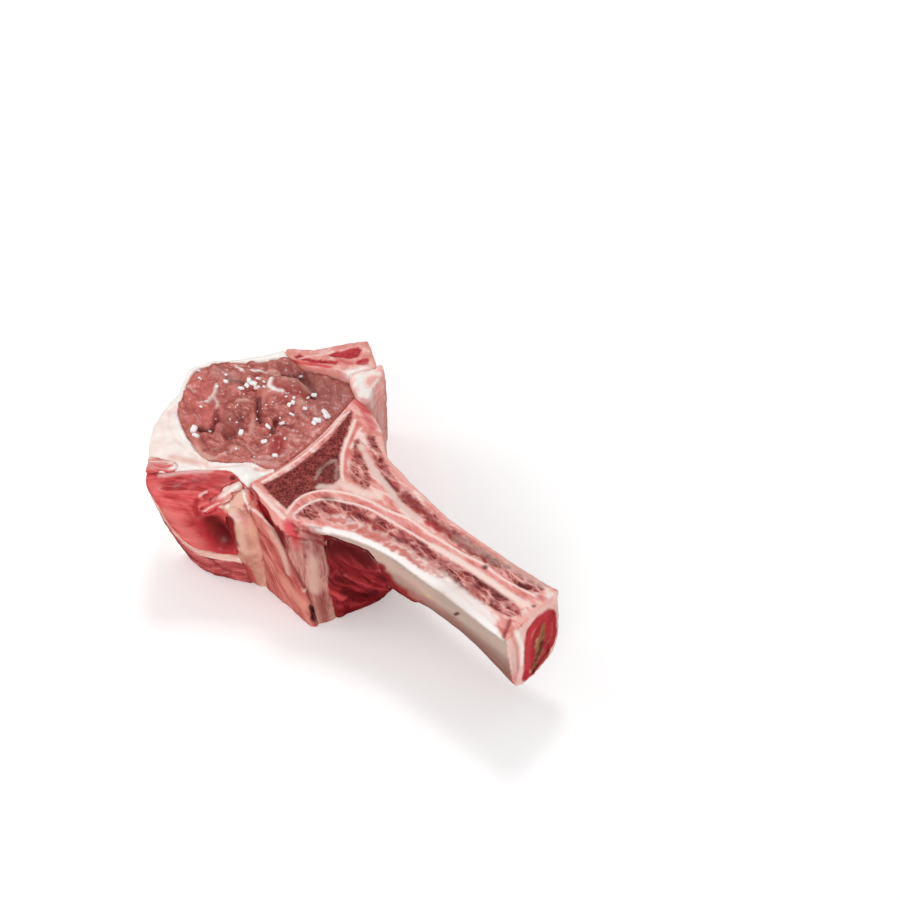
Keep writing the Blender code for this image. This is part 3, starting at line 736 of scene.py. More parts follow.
class Skin:
    """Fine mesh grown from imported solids, with its colour and relief."""

    def __init__(self, name: str, nodes: tuple[str, ...], cell: float, growth: float,
                 inner: tuple[str, ...] = (), ceiling: float | None = None, calm: int = 6) -> None:
        """Mesh the solids anew.

        Args:
            name: Name of the piece.
            nodes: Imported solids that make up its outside.
            cell: Size of the new mesh's faces.
            growth: How far the surface moves out, to meet its neighbours.
            inner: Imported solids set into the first, which are grown to fill their clearance.
            ceiling: Height above which nothing reaches, or None.
            calm: How often the new mesh is smoothed, which rounds its edges.
        """
        self.name = name
        shape = bmesh.new()
        for node in nodes:
            shape.from_mesh(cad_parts[node].data)
        for node in inner:
            self.add_grown(shape, node)
        bmesh.ops.remove_doubles(shape, verts=shape.verts, dist=WELD)
        mesh = bpy.data.meshes.new(name)
        shape.to_mesh(mesh)
        shape.free()
        self.surface = self.tree_of([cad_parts[node].data for node in nodes + inner])
        self.remake(self.remeshed(mesh, cell, calm), growth)
        if ceiling is not None:
            self.points[:, 2] = np.minimum(self.points[:, 2], ceiling)

    def remake(self, mesh: bpy.types.Mesh, growth: float) -> None:
        """Start afresh from a mesh.

        Args:
            mesh: The fine mesh.
            growth: How far its surface moves out.
        """
        self.mesh = mesh
        count = len(mesh.vertices)
        self.points = self.read("vertices", "co") * PER_METRE
        self.normals = self.read("vertex_normals", "vector")
        self.points += self.normals * growth
        self.lift = np.zeros(count)
        self.colour = np.zeros((count, 3))
        self.cover = np.zeros(count)
        self.pores = np.zeros(count)
        self.web = np.zeros(count)

    @staticmethod
    def add_grown(shape: bmesh.types.BMesh, node: str, growth: float = 0.45) -> None:
        """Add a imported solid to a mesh, a little larger than it is.

        Args:
            shape: The mesh that it is added to.
            node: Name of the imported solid.
            growth: How far its surface moves out.
        """
        own = bmesh.new()
        own.from_mesh(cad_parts[node].data)
        bmesh.ops.remove_doubles(own, verts=own.verts, dist=WELD)
        own.normal_update()
        for vertex in own.verts:
            vertex.co += vertex.normal * growth * min(vertex.calc_shell_factor(), SHELL_LIMIT) * MM
        mesh = bpy.data.meshes.new(node)
        own.to_mesh(mesh)
        own.free()
        shape.from_mesh(mesh)
        bpy.data.meshes.remove(mesh)

    @staticmethod
    def tree_of(meshes: list[bpy.types.Mesh]) -> BVHTree:
        """Make a search tree of meshes.

        Args:
            meshes: The meshes, in metres.

        Returns:
            The tree, in millimetres.
        """
        points, faces = [], []
        for mesh in meshes:
            start = len(points)
            points += [vertex.co * PER_METRE for vertex in mesh.vertices]
            faces += [[start + index for index in face.vertices] for face in mesh.polygons]
        return BVHTree.FromPolygons(points, faces)

    @staticmethod
    def remeshed(mesh: bpy.types.Mesh, cell: float, smoothing: int) -> bpy.types.Mesh:
        """Cover a mesh with small even faces.

        Args:
            mesh: The mesh, which isn't kept.
            cell: Size of the faces.
            smoothing: How often it is smoothed.

        Returns:
            The new mesh.
        """
        thing = bpy.data.objects.new("remeshed", mesh)
        bpy.context.scene.collection.objects.link(thing)
        even = thing.modifiers.new("Even", "REMESH")
        even.mode, even.voxel_size = "VOXEL", cell * MM
        calm = thing.modifiers.new("Calm", "SMOOTH")
        calm.factor, calm.iterations = CALM_FACTOR, smoothing
        graph = bpy.context.evaluated_depsgraph_get()
        made = bpy.data.meshes.new_from_object(thing.evaluated_get(graph))
        bpy.data.objects.remove(thing)
        return made

    def read(self, collection: str, key: str) -> np.ndarray:
        """Read three numbers for each item of the mesh.

        Args:
            collection: Name of the mesh's list of items.
            key: Name of the numbers.

        Returns:
            One row for each item.
        """
        items = getattr(self.mesh, collection)
        values = np.zeros(len(items) * 3, np.float32)
        items.foreach_get(key, values)
        return values.reshape(-1, 3).astype(float)

    def paint(self, share: np.ndarray, tone: Tone) -> None:
        """Lay a colour over the surface.

        Args:
            share: How much of the surface it hides at each point.
            tone: The colour.
        """
        part = np.clip(share, 0.0, 1.0)
        self.colour = self.colour * (1.0 - part[:, None]) + part[:, None] * np.array(tone.linear())
        self.cover = self.cover * (1.0 - part) + part

    def lay(self, mark: Mark, level: bool = False) -> None:
        """Lay a mark on the surface.

        Args:
            mark: The mark.
            level: Whether it stays on faces that look up.
        """
        path = np.array([SIGHT.touch(self.surface, pixel) for pixel in rounded(mark.path)])
        half = mark.width / 2.0
        reach = half * (1.0 + mark.soft) + mark.wander
        near = np.all((self.points > path.min(0) - reach) & (self.points < path.max(0) + reach), axis=1)
        chosen = np.flatnonzero(near)
        if not len(chosen):
            return
        spots = self.points[chosen]
        distance = distance_to_path(spots, path)
        if mark.wander:
            wave = max(mark.width * WANDER_SHARE, WANDER_LEAST)
            distance += mark.wander * clouds(spots, wave, WANDER_SHIFT, 2)
        share = np.zeros(len(self.points))
        share[chosen] = eased((half * (1.0 + mark.soft) - distance) / (2.0 * mark.soft * half))
        if level:
            share *= self.facing_up(LEVEL_LEAST)
        self.lift += share * mark.rise
        if mark.tone is not None:
            self.paint(share * mark.cover, mark.tone)

    def depth_in(self, node: str, step: Triple = (0.0, 0.0, -1.6),
                 margin: float = 4.0) -> np.ndarray:
        """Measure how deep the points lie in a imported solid, seen in from its open face.

        Args:
            node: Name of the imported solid.
            step: Way from the open face to where the depth is measured.
            margin: Points further away than this aren't measured.

        Returns:
            Depth at each point, below zero outside.
        """
        tree = self.tree_of([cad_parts[node].data])
        low, high = (np.array(corner) * PER_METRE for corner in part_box(node))
        near = np.flatnonzero(np.all((self.points > low - margin) & (self.points < high + margin), axis=1))
        depths = np.full(len(self.points), -margin)
        for index in near:
            point = Vector(self.points[index] + step)
            distance = tree.find_nearest(point)[3]
            depths[index] = distance if self.holds(tree, point) else -distance
        return depths

    @staticmethod
    def holds(tree: BVHTree, point: Vector) -> bool:
        """Tell whether a closed surface holds a point, by counting the walls on the way out.

        Args:
            tree: The surface.
            point: The point.

        Returns:
            Whether it is inside.
        """
        way = Vector(WAY_OUT).normalized()
        crossed, start = 0, point
        while True:
            hit = tree.ray_cast(start, way)[0]
            if hit is None:
                return crossed % 2 == 1
            crossed += 1
            start = hit + way * PAST_WALL

    def facing_up(self, least: float = 0.6) -> np.ndarray:
        """Return 1 where the surface faces up and 0 where it doesn't."""
        return eased((self.normals[:, 2] - least + UP_BLEND / 2.0) / UP_BLEND)

    def finished(self, material: bpy.types.Material) -> bpy.types.Object:
        """Move the surface by its relief and give it its colours.

        Args:
            material: The material of the piece.

        Returns:
            The piece's object.
        """
        moved = self.points + self.normals * self.lift[:, None]
        moved[:, 2] = np.maximum(moved[:, 2], 0.0)
        self.mesh.vertices.foreach_set("co", (moved * MM).astype(np.float32).ravel())
        tint = self.mesh.attributes.new("tint", "FLOAT_COLOR", "POINT")
        both = np.column_stack((self.colour, self.cover)).astype(np.float32)
        tint.data.foreach_set("color", both.ravel())
        for name, values in (("pores", self.pores), ("web", self.web)):
            layer = self.mesh.attributes.new(name, "FLOAT", "POINT")
            layer.data.foreach_set("value", values.astype(np.float32))
        self.mesh.polygons.foreach_set("use_smooth", [True] * len(self.mesh.polygons))
        self.mesh.materials.clear()
        self.mesh.materials.append(material)
        self.mesh.update()
        thing = bpy.data.objects.new(self.name, self.mesh)
        bpy.context.scene.collection.objects.link(thing)
        return thing


@dataclass
class Tissue:
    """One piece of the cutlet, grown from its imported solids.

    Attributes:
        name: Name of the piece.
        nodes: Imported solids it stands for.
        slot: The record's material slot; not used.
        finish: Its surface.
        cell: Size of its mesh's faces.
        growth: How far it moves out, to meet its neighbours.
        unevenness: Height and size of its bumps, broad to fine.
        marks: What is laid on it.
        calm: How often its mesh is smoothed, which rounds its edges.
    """

    name: str
    nodes: tuple[str, ...]
    slot: str
    finish: Finish
    cell: float = 0.45
    growth: float = 0.35
    unevenness: tuple[tuple[float, float], ...] = ((0.3, 5.0), (0.05, 1.8))
    marks: tuple[Mark, ...] = ()
    calm: int = 8

    def mesh(self) -> Skin:
        """Make the fine mesh."""
        return Skin(self.name, self.nodes, self.cell, self.growth, calm=self.calm)

    def shape(self, skin: Skin) -> None:
        """Give a fine mesh the surface's bumps."""
        for order, (height, reach) in enumerate(self.unevenness):
            skin.lift += height * clouds(skin.points, reach, BUMP_SHIFT * order, 2)

    def build(self) -> bpy.types.Object:
        """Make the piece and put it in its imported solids' place.

        Returns:
            The piece's object.
        """
        skin = self.mesh()
        self.shape(skin)
        for mark in self.marks:
            skin.lay(mark)
        thing = skin.finished(self.finish.material())
        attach(thing, "root")
        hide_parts(*self.nodes)
        return thing


@dataclass
class EyeMuscle(Tissue):
    """The eye of the cutlet, with its lumpy wet cut face.

    Attributes:
        rise: Height of its cut face above the sawn face.
        bumps: Height and reach of the broad bumps.
        calm_edge: Place along the rib where the bumps have died out.
        calm_run: Length over which they do.
        calm_least: Share of the bumps that is left there.
        middle: The drawing's middle, from which the bumps are measured.
        layer: Height in the noise at which the broad bumps are read.
        lump_reach: Size of the lumps along, across and up.
        small_reach: Size of the small lumps.
        lump_heights: Height of lumps and small lumps, and how far they sink as a whole.
        fold_shade: Span of the lumps' noise in which painted shade lies in the folds between them.
        small_fold_shade: The same for the small lumps.
        small_share: Strength of the painted shade in the small lumps' folds.
        crest_light: Span of the lumps' noise in which painted light lies on their tops.
        film_reach: Size of the pale films.
        film: Span of their noise in which they show.
        covers: How much the painted shade in folds, the painted light on tops and the films hide.
    """

    rise: float = 0.5
    bumps: tuple[tuple[float, float], ...] = ((1.5, 11.0), (0.9, 5.0))
    calm_edge: float = -27.0
    calm_run: float = 14.0
    calm_least: float = 0.15
    middle: tuple[float, float] = (-3.2, 2.4)
    layer: float = 3.0
    lump_reach: Triple = (6.5, 5.0, 6.0)
    small_reach: Triple = (3.0, 2.2, 3.0)
    lump_heights: Triple = (2.0, 0.35, 0.6)
    fold_shade: Span = (0.12, 0.0)
    small_fold_shade: Span = (0.08, 0.0)
    small_share: float = 0.5
    crest_light: Span = (0.3, 0.6)
    film_reach: Triple = (7.0, 3.0, 4.0)
    film: Span = (0.22, 0.52)
    covers: Triple = (0.7, 0.3, 0.35)

    def level(self, x: float, y: float) -> float:
        """Height of the cut face without the salt.

        Args:
            x: Place along the rib.
            y: Place across it.

        Returns:
            The height above the floor.
        """
        x, y = x + self.middle[0], y + self.middle[1]
        spot = Vector((x, y, self.layer))
        bumps = sum(height * noise.noise(spot / reach) for height, reach in self.bumps)
        calm = min(max((self.calm_edge - x) / self.calm_run, self.calm_least), 1.0)
        return SAWN_FACE + (bumps + self.rise) * calm

    def mesh(self) -> Skin:
        """Make the fine mesh, with the joined salt taken off the cut face.

        Returns:
            The mesh.
        """
        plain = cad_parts["eye_muscle"].data.copy()
        for vertex in plain.vertices:
            x, y, z = vertex.co * PER_METRE
            vertex.co.z = min(z, self.level(x, y)) * MM
        skin = Skin(self.name, self.nodes, self.cell, self.growth, calm=self.calm)
        skin.remake(Skin.remeshed(plain, self.cell, self.calm), self.growth)
        return skin

    def shape(self, skin: Skin) -> None:
        """Add lumps, painted shade in the folds between them, painted light on their tops, and pale films
        to the cut face.

        Args:
            skin: The piece's mesh.
        """
        super().shape(skin)
        up = skin.facing_up()
        before_edge = self.calm_edge - self.middle[0] - skin.points[:, 0]
        calm = np.clip(before_edge / self.calm_run, self.calm_least, 1.0)
        lumps = np.abs(clouds(skin.points, self.lump_reach, 5.1, 2))
        small = np.abs(clouds(skin.points, self.small_reach, 8.4, 1))
        high, low, sunk = self.lump_heights
        skin.lift += up * calm * (high * lumps + low * small - sunk)
        # Painted shade in the folds between lumps, painted light on their tops.
        folds = np.maximum(fade(lumps, self.fold_shade), self.small_share * fade(small, self.small_fold_shade))
        fold_shade_cover, crest_light_cover, film_cover = self.covers
        skin.paint(fold_shade_cover * up * calm * folds, Tone.EYE_DEEP)
        skin.paint(crest_light_cover * up * calm * fade(lumps, self.crest_light), Tone.EYE_LIGHT)
        films = fade(clouds(skin.points, self.film_reach, 21.0, 3), self.film)
        skin.paint(film_cover * up * films, Tone.EYE_LIGHT)


@dataclass
class SawnBone(Tissue):
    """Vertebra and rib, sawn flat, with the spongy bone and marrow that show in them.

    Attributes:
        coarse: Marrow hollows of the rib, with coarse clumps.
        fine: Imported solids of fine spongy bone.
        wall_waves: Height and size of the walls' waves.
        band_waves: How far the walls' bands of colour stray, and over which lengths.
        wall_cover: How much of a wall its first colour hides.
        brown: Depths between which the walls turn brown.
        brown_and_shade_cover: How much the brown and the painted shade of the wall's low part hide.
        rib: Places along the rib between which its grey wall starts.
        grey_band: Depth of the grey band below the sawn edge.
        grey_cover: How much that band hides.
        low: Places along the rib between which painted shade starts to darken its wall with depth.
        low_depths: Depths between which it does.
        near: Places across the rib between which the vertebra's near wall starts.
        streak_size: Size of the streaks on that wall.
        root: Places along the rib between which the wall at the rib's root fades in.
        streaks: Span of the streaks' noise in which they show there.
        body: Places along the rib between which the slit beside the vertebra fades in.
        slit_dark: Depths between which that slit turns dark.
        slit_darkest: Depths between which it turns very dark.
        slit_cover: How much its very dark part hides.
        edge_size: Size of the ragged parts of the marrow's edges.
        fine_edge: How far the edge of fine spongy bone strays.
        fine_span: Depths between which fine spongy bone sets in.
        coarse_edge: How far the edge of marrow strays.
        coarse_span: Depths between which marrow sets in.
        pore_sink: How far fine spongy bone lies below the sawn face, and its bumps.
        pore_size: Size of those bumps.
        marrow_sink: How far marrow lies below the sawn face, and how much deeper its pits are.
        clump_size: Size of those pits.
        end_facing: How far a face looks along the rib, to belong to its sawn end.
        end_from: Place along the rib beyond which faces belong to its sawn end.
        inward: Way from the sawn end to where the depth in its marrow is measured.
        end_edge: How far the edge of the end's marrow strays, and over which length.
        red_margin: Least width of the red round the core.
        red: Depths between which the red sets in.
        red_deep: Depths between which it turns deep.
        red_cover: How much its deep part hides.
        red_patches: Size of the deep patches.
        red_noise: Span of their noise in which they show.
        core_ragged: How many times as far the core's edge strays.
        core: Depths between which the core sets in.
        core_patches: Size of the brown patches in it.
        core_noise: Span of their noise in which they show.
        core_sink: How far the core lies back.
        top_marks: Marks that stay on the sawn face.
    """

    coarse: tuple[str, ...] = ("near_marrow", "far_marrow", "mid_marrow")
    fine: tuple[str, ...] = ("body_marrow",)
    wall_waves: tuple[float, Triple] = (0.25, (9.0, 4.0, 4.0))
    band_waves: tuple[float, Triple] = (1.2, (12.0, 8.0, 5.0))
    wall_cover: float = 0.95
    brown: Span = (11.0, 21.0)
    brown_and_shade_cover: float = 0.8
    rib: Span = (-1.0, 4.0)
    grey_band: float = 4.0
    grey_cover: float = 0.9
    low: Span = (12.0, 37.0)
    low_depths: Span = (5.0, 12.0)
    near: Span = (-9.0, -12.0)
    streak_size: Triple = (2.0, 2.0, 7.0)
    root: Span = (3.0, -1.0)
    streaks: Span = (-0.05, 0.25)
    body: Span = (-3.0, -6.0)
    slit_dark: Span = (3.4, 4.8)
    slit_darkest: Span = (4.8, 6.0)
    slit_cover: float = 0.6
    edge_size: float = 1.6
    fine_edge: float = 0.3
    fine_span: Span = (-0.3, 0.4)
    coarse_edge: float = 0.8
    coarse_span: Span = (-0.6, 0.6)
    pore_sink: tuple[float, float] = (0.10, 0.06)
    pore_size: float = 1.2
    marrow_sink: tuple[float, float] = (0.12, 0.25)
    clump_size: Triple = (3.4, 1.5, 2.0)
    end_facing: Span = (0.6, 0.8)
    end_from: float = 55.0
    inward: Triple = (-1.6, 0.0, 0.0)
    end_edge: tuple[float, float] = (0.25, 2.0)
    red_margin: float = 0.9
    red: Span = (-0.3, 0.5)
    red_deep: Span = (0.4, 1.2)
    red_cover: float = 0.6
    red_patches: float = 1.1
    red_noise: Span = (-0.2, 0.3)
    core_ragged: float = 3.0
    core: Span = (-0.3, 0.6)
    core_patches: float = 1.0
    core_noise: Span = (-0.05, 0.2)
    core_sink: float = 0.15
    top_marks: tuple[Mark, ...] = ()

    def mesh(self) -> Skin:
        """Make one fine mesh of the bone and what is set into it."""
        return Skin(self.name, ("bone",), self.cell, self.growth, self.nodes[1:], SAWN_FACE, self.calm)

    def shape(self, skin: Skin) -> None:
        """Colour the bone's parts and sink the marrow a little.

        Args:
            skin: The piece's mesh.
        """
        up = skin.facing_up()
        height, reach = self.wall_waves
        skin.lift += (1.0 - up) * (height * clouds(skin.points, reach, 1.0, 2))
        self.colour_walls(skin, up)
        rough = clouds(skin.points, self.edge_size, 9.0, 3)
        sunk, bumps = self.pore_sink
        for node in self.fine:
            inside = up * fade(skin.depth_in(node) + self.fine_edge * rough, self.fine_span)
            skin.pores = np.maximum(skin.pores, inside)
            skin.lift -= inside * (sunk + bumps * clouds(skin.points, self.pore_size, 4.0))
        clump = clouds(skin.points, self.clump_size, 7.0, 3)
        sunk, pits = self.marrow_sink
        for node in self.coarse:
            inside = up * fade(skin.depth_in(node) + self.coarse_edge * rough, self.coarse_span)
            skin.web = np.maximum(skin.web, inside)
            skin.lift -= inside * (sunk + pits * np.clip(clump, 0.0, 1.0))
        self.colour_end(skin)
        for mark in self.top_marks:
            skin.lay(mark, level=True)

    def colour_walls(self, skin: Skin, up: np.ndarray) -> None:
        """Colour the walls under the sawn face, with painted shade low on the rib's wall.

        Args:
            skin: The piece's mesh.
            up: 1 where the surface faces up.
        """
        x, y, z = skin.points.T
        wall = 1.0 - up
        stray, reach = self.band_waves
        depth = SAWN_FACE - z + stray * clouds(skin.points, reach, 3.0)
        skin.paint(wall * self.wall_cover, Tone.WALL_BEIGE)
        skin.paint(wall * fade(depth, self.brown) * self.brown_and_shade_cover, Tone.WALL_BROWN)
        rib = wall * fade(x, self.rib)
        skin.paint(rib * eased(1.0 - depth / self.grey_band) * self.grey_cover, Tone.WALL_GREY)
        # Painted shade: the rib's wall darkens with depth, from partway along the rib.
        low = fade(x, self.low) * fade(depth, self.low_depths)
        skin.paint(rib * low * self.brown_and_shade_cover, Tone.WALL_LOW_SHADE)
        near = wall * fade(y, self.near)
        streaks = clouds(skin.points, self.streak_size, 5.0, 2)
        root = near * fade(x, self.root)
        skin.paint(root, Tone.FILM)
        skin.paint(root * fade(streaks, self.streaks), Tone.COLUMN)
        body = near * fade(x, self.body)
        skin.paint(body, Tone.BONE)
        skin.paint(body * fade(depth + streaks, self.slit_dark), Tone.MAROON)
        skin.paint(self.slit_cover * body * fade(depth + streaks, self.slit_darkest), Tone.MAROON_DEEP)

    def colour_end(self, skin: Skin) -> None:
        """Colour the rib's sawn end.

        Args:
            skin: The piece's mesh.
        """
        end = fade(skin.normals[:, 0], self.end_facing) * (skin.points[:, 0] > self.end_from)
        skin.paint(end * self.wall_cover, Tone.FEATHER_LIGHT)
        stray, reach = self.end_edge
        ragged = stray * clouds(skin.points, reach, 6.0, 2)
        core = skin.depth_in("end_core", self.inward)
        red = np.maximum(skin.depth_in("end_marrow", self.inward), core + self.red_margin)
        skin.paint(fade(red + ragged, self.red) * end, Tone.END_RED)
        uneven = fade(clouds(skin.points, self.red_patches, 2.0, 2), self.red_noise)
        skin.paint(self.red_cover * fade(red, self.red_deep) * end * uneven, Tone.LOWER_DEEP)
        core = fade(core + self.core_ragged * ragged, self.core) * end
        skin.paint(core, Tone.END_TAN)
        brown = fade(clouds(skin.points, self.core_patches, 8.0, 2), self.core_noise)
        skin.paint(core * brown, Tone.END_BROWN)
        skin.lift -= core * self.core_sink


@dataclass
class FeatherBone(Tissue):
    """The feather bone, sawn at its top, with lines of marrow.

    Attributes:
        rise: How far its root stands above the sawn face.
        rise_from: Place along the rib where it starts to rise.
        rise_run: Length over which it does.
        clearance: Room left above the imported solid.
        marrow_edge: How far the edge of its marrow strays, and over which length.
        marrow: Depths between which its marrow sets in.
        deep_size: Size of the deep red patches in it.
        deep: Span of their noise in which they show.
        marrow_sink: How far its marrow lies below its cut face.
    """

    rise: float = 4.5
    rise_from: float = -60.8
    rise_run: float = 24.0
    clearance: float = 0.1
    marrow_edge: tuple[float, float] = (0.5, 1.4)
    marrow: Span = (-0.3, 0.4)
    deep_size: float = 0.8
    deep: Span = (0.0, 0.2)
    marrow_sink: float = 0.3

    def mesh(self) -> Skin:
        """Make one fine mesh of the bone and what is set into it.

        Returns:
            The mesh.
        """
        skin = Skin(self.name, ("feather_bone",), self.cell, self.growth, self.nodes[1:], calm=self.calm)
        risen = np.clip((skin.points[:, 0] - self.rise_from) / self.rise_run, 0.0, 1.0)
        top = SAWN_FACE + self.rise * risen + self.clearance
        skin.points[:, 2] = np.minimum(skin.points[:, 2], top)
        return skin

    def shape(self, skin: Skin) -> None:
        """Give the bone its bumps, and colour and sink its marrow.

        Args:
            skin: The piece's mesh.
        """
        super().shape(skin)
        up = skin.facing_up()
        stray, reach = self.marrow_edge
        ragged = stray * clouds(skin.points, reach, 9.0, 2)
        deep = fade(clouds(skin.points, self.deep_size, 3.0), self.deep)
        for node in self.nodes[1:]:
            inside = fade(skin.depth_in(node) + ragged, self.marrow)
            skin.paint(inside * up, Tone.RED_STAIN)
            skin.paint(inside * up * deep, Tone.FLAP_DEEP)
            skin.lift -= self.marrow_sink * inside * up


@dataclass(frozen=True)
class Salt:
    """Coarse salt on the eye.

    Attributes:
        small: Places of small grains in the picture.
        middling: Places of middling grains.
        large: Places of large grains.
        sizes: Size of a small, a middling and a large grain.
        dust: Number of fine grains strewn, before those that miss the cut face are left out.
        dust_size: Smallest and largest fine grain.
        dust_middle: Middle of the fine grains in the picture.
        dust_reach: How far they are strewn across and down.
        seed: Seed of the random draws.
        spread: Least and greatest size of a grain, as a share of its kind's size.
        bevel: Width of its bevelled edges, as a share of its size.
        corners: Number of its corners.
        tilt: Most that it leans, in radians.
        stretch: Least and greatest length along each of its axes, as a share of its size.
        jitter: Least and greatest place of a corner, as a share of the even place.
        lift: How far its middle stands above the meat, as a share of its size.
        lowest: Height below which no grain lies.
        cloud_size: Size of the milky clouds in it.
    """

    small: Path = ((199, 371), (200, 379), (217, 387), (264, 382), (264, 387), (201, 407), (210, 432),
                   (236, 449), (301, 377), (294, 398), (308, 398), (285, 439), (226, 375))
    middling: Path = ((226, 382), (196, 436), (241, 433), (314, 396), (289, 406), (293, 403),
                      (305, 409), (314, 424), (292, 415), (282, 424), (268, 427), (264, 442),
                      (275, 456), (247, 386), (249, 381), (259, 379), (257, 388))
    large: Path = ((241, 389), (194, 430), (253, 384), (325, 413), (327, 417), (317, 421))
    sizes: Triple = (0.9, 1.4, 1.9)
    dust: int = 36
    dust_size: tuple[float, float] = (0.25, 0.6)
    dust_middle: tuple[float, float] = (256.0, 412.0)
    dust_reach: tuple[float, float] = (34.0, 20.0)
    seed: int = 5
    spread: tuple[float, float] = (0.9, 1.1)
    bevel: float = 0.18
    corners: int = 24
    tilt: float = 0.7
    stretch: tuple[tuple[float, float], ...] = ((1.0, 1.5), (0.7, 1.0), (0.5, 0.8))
    jitter: tuple[float, float] = (0.85, 1.12)
    lift: float = 0.2
    lowest: float = SAWN_FACE - 4.0
    cloud_size: float = 0.5

    def build(self, eye: bpy.types.Object) -> bpy.types.Object:
        """Set the grains on the eye.

        Args:
            eye: The eye's object.

        Returns:
            The object with all grains.
        """
        surface = Skin.tree_of([eye.data])
        draw = random.Random(self.seed)
        shape = bmesh.new()
        for places, size in zip((self.small, self.middling, self.large), self.sizes):
            for pixel in places:
                self.grain(shape, surface, pixel, size * draw.uniform(*self.spread), draw)
        for _ in range(self.dust):
            pixel = tuple(draw.gauss(*pair) for pair in zip(self.dust_middle, self.dust_reach))
            self.grain(shape, surface, pixel, draw.uniform(*self.dust_size), draw)
        mesh = bpy.data.meshes.new("coarse_salt")
        shape.to_mesh(mesh)
        shape.free()
        thing = bpy.data.objects.new("coarse_salt", mesh)
        bpy.context.scene.collection.objects.link(thing)
        mesh.materials.append(self.material())
        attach(thing, "root")
        return thing

    def grain(self, shape: bmesh.types.BMesh, surface: BVHTree, pixel: tuple[float, float],
              size: float, draw: random.Random) -> None:
        """Add one grain.

        Args:
            shape: The mesh that it is added to.
            surface: The eye's surface.
            pixel: Its place in the picture.
            size: Its size.
            draw: Source of its shape and turn.
        """
        hit = surface.ray_cast(SIGHT.place(), SIGHT.ray(pixel))[0]
        if hit is None or hit.z < self.lowest:
            return
        made = bmesh.ops.create_cube(shape, size=size)["verts"]
        faces = list({face for vertex in made for face in vertex.link_faces})
        bmesh.ops.bevel(shape, geom=list({edge for face in faces for edge in face.edges}),
                        offset=size * self.bevel, segments=1, affect="EDGES")
        shape.verts.ensure_lookup_table()
        grown = shape.verts[-self.corners:]
        leans = [draw.uniform(-self.tilt, self.tilt) for _ in range(2)]
        angles = [*leans, draw.uniform(0, math.pi)]
        turn = (Matrix.Rotation(angles[2], 3, "Z") @ Matrix.Rotation(angles[0], 3, "X")
                @ Matrix.Rotation(angles[1], 3, "Y"))
        stretch = tuple(draw.uniform(*span) for span in self.stretch)
        for vertex in grown:
            spot = Vector([part * scale * draw.uniform(*self.jitter)
                           for part, scale in zip(vertex.co, stretch)])
            vertex.co = (turn @ spot + hit + Vector((0, 0, size * self.lift))) * MM

    def material(self) -> bpy.types.Material:
        """Make the salt's milky, glossy material.

        Returns:
            The material.
        """
        graph = Graph("salt")
        cloudy = graph.noise(graph.coordinates(), self.cloud_size)
        graph.link(graph.ramp(cloudy, ((0.2, (0.9, 0.88, 0.88)), (0.5, (1.0,) * 3))),
                   graph.shader.inputs["Base Color"])
        graph.link(graph.spread(cloudy, 0.12, 0.35), graph.shader.inputs["Roughness"])
        graph.shader.inputs["Subsurface Weight"].default_value = 0.4
        graph.shader.inputs["Subsurface Radius"].default_value = (1.0, 1.0, 1.0)
        graph.shader.inputs["Subsurface Scale"].default_value = 0.8 * MM
        return graph.material


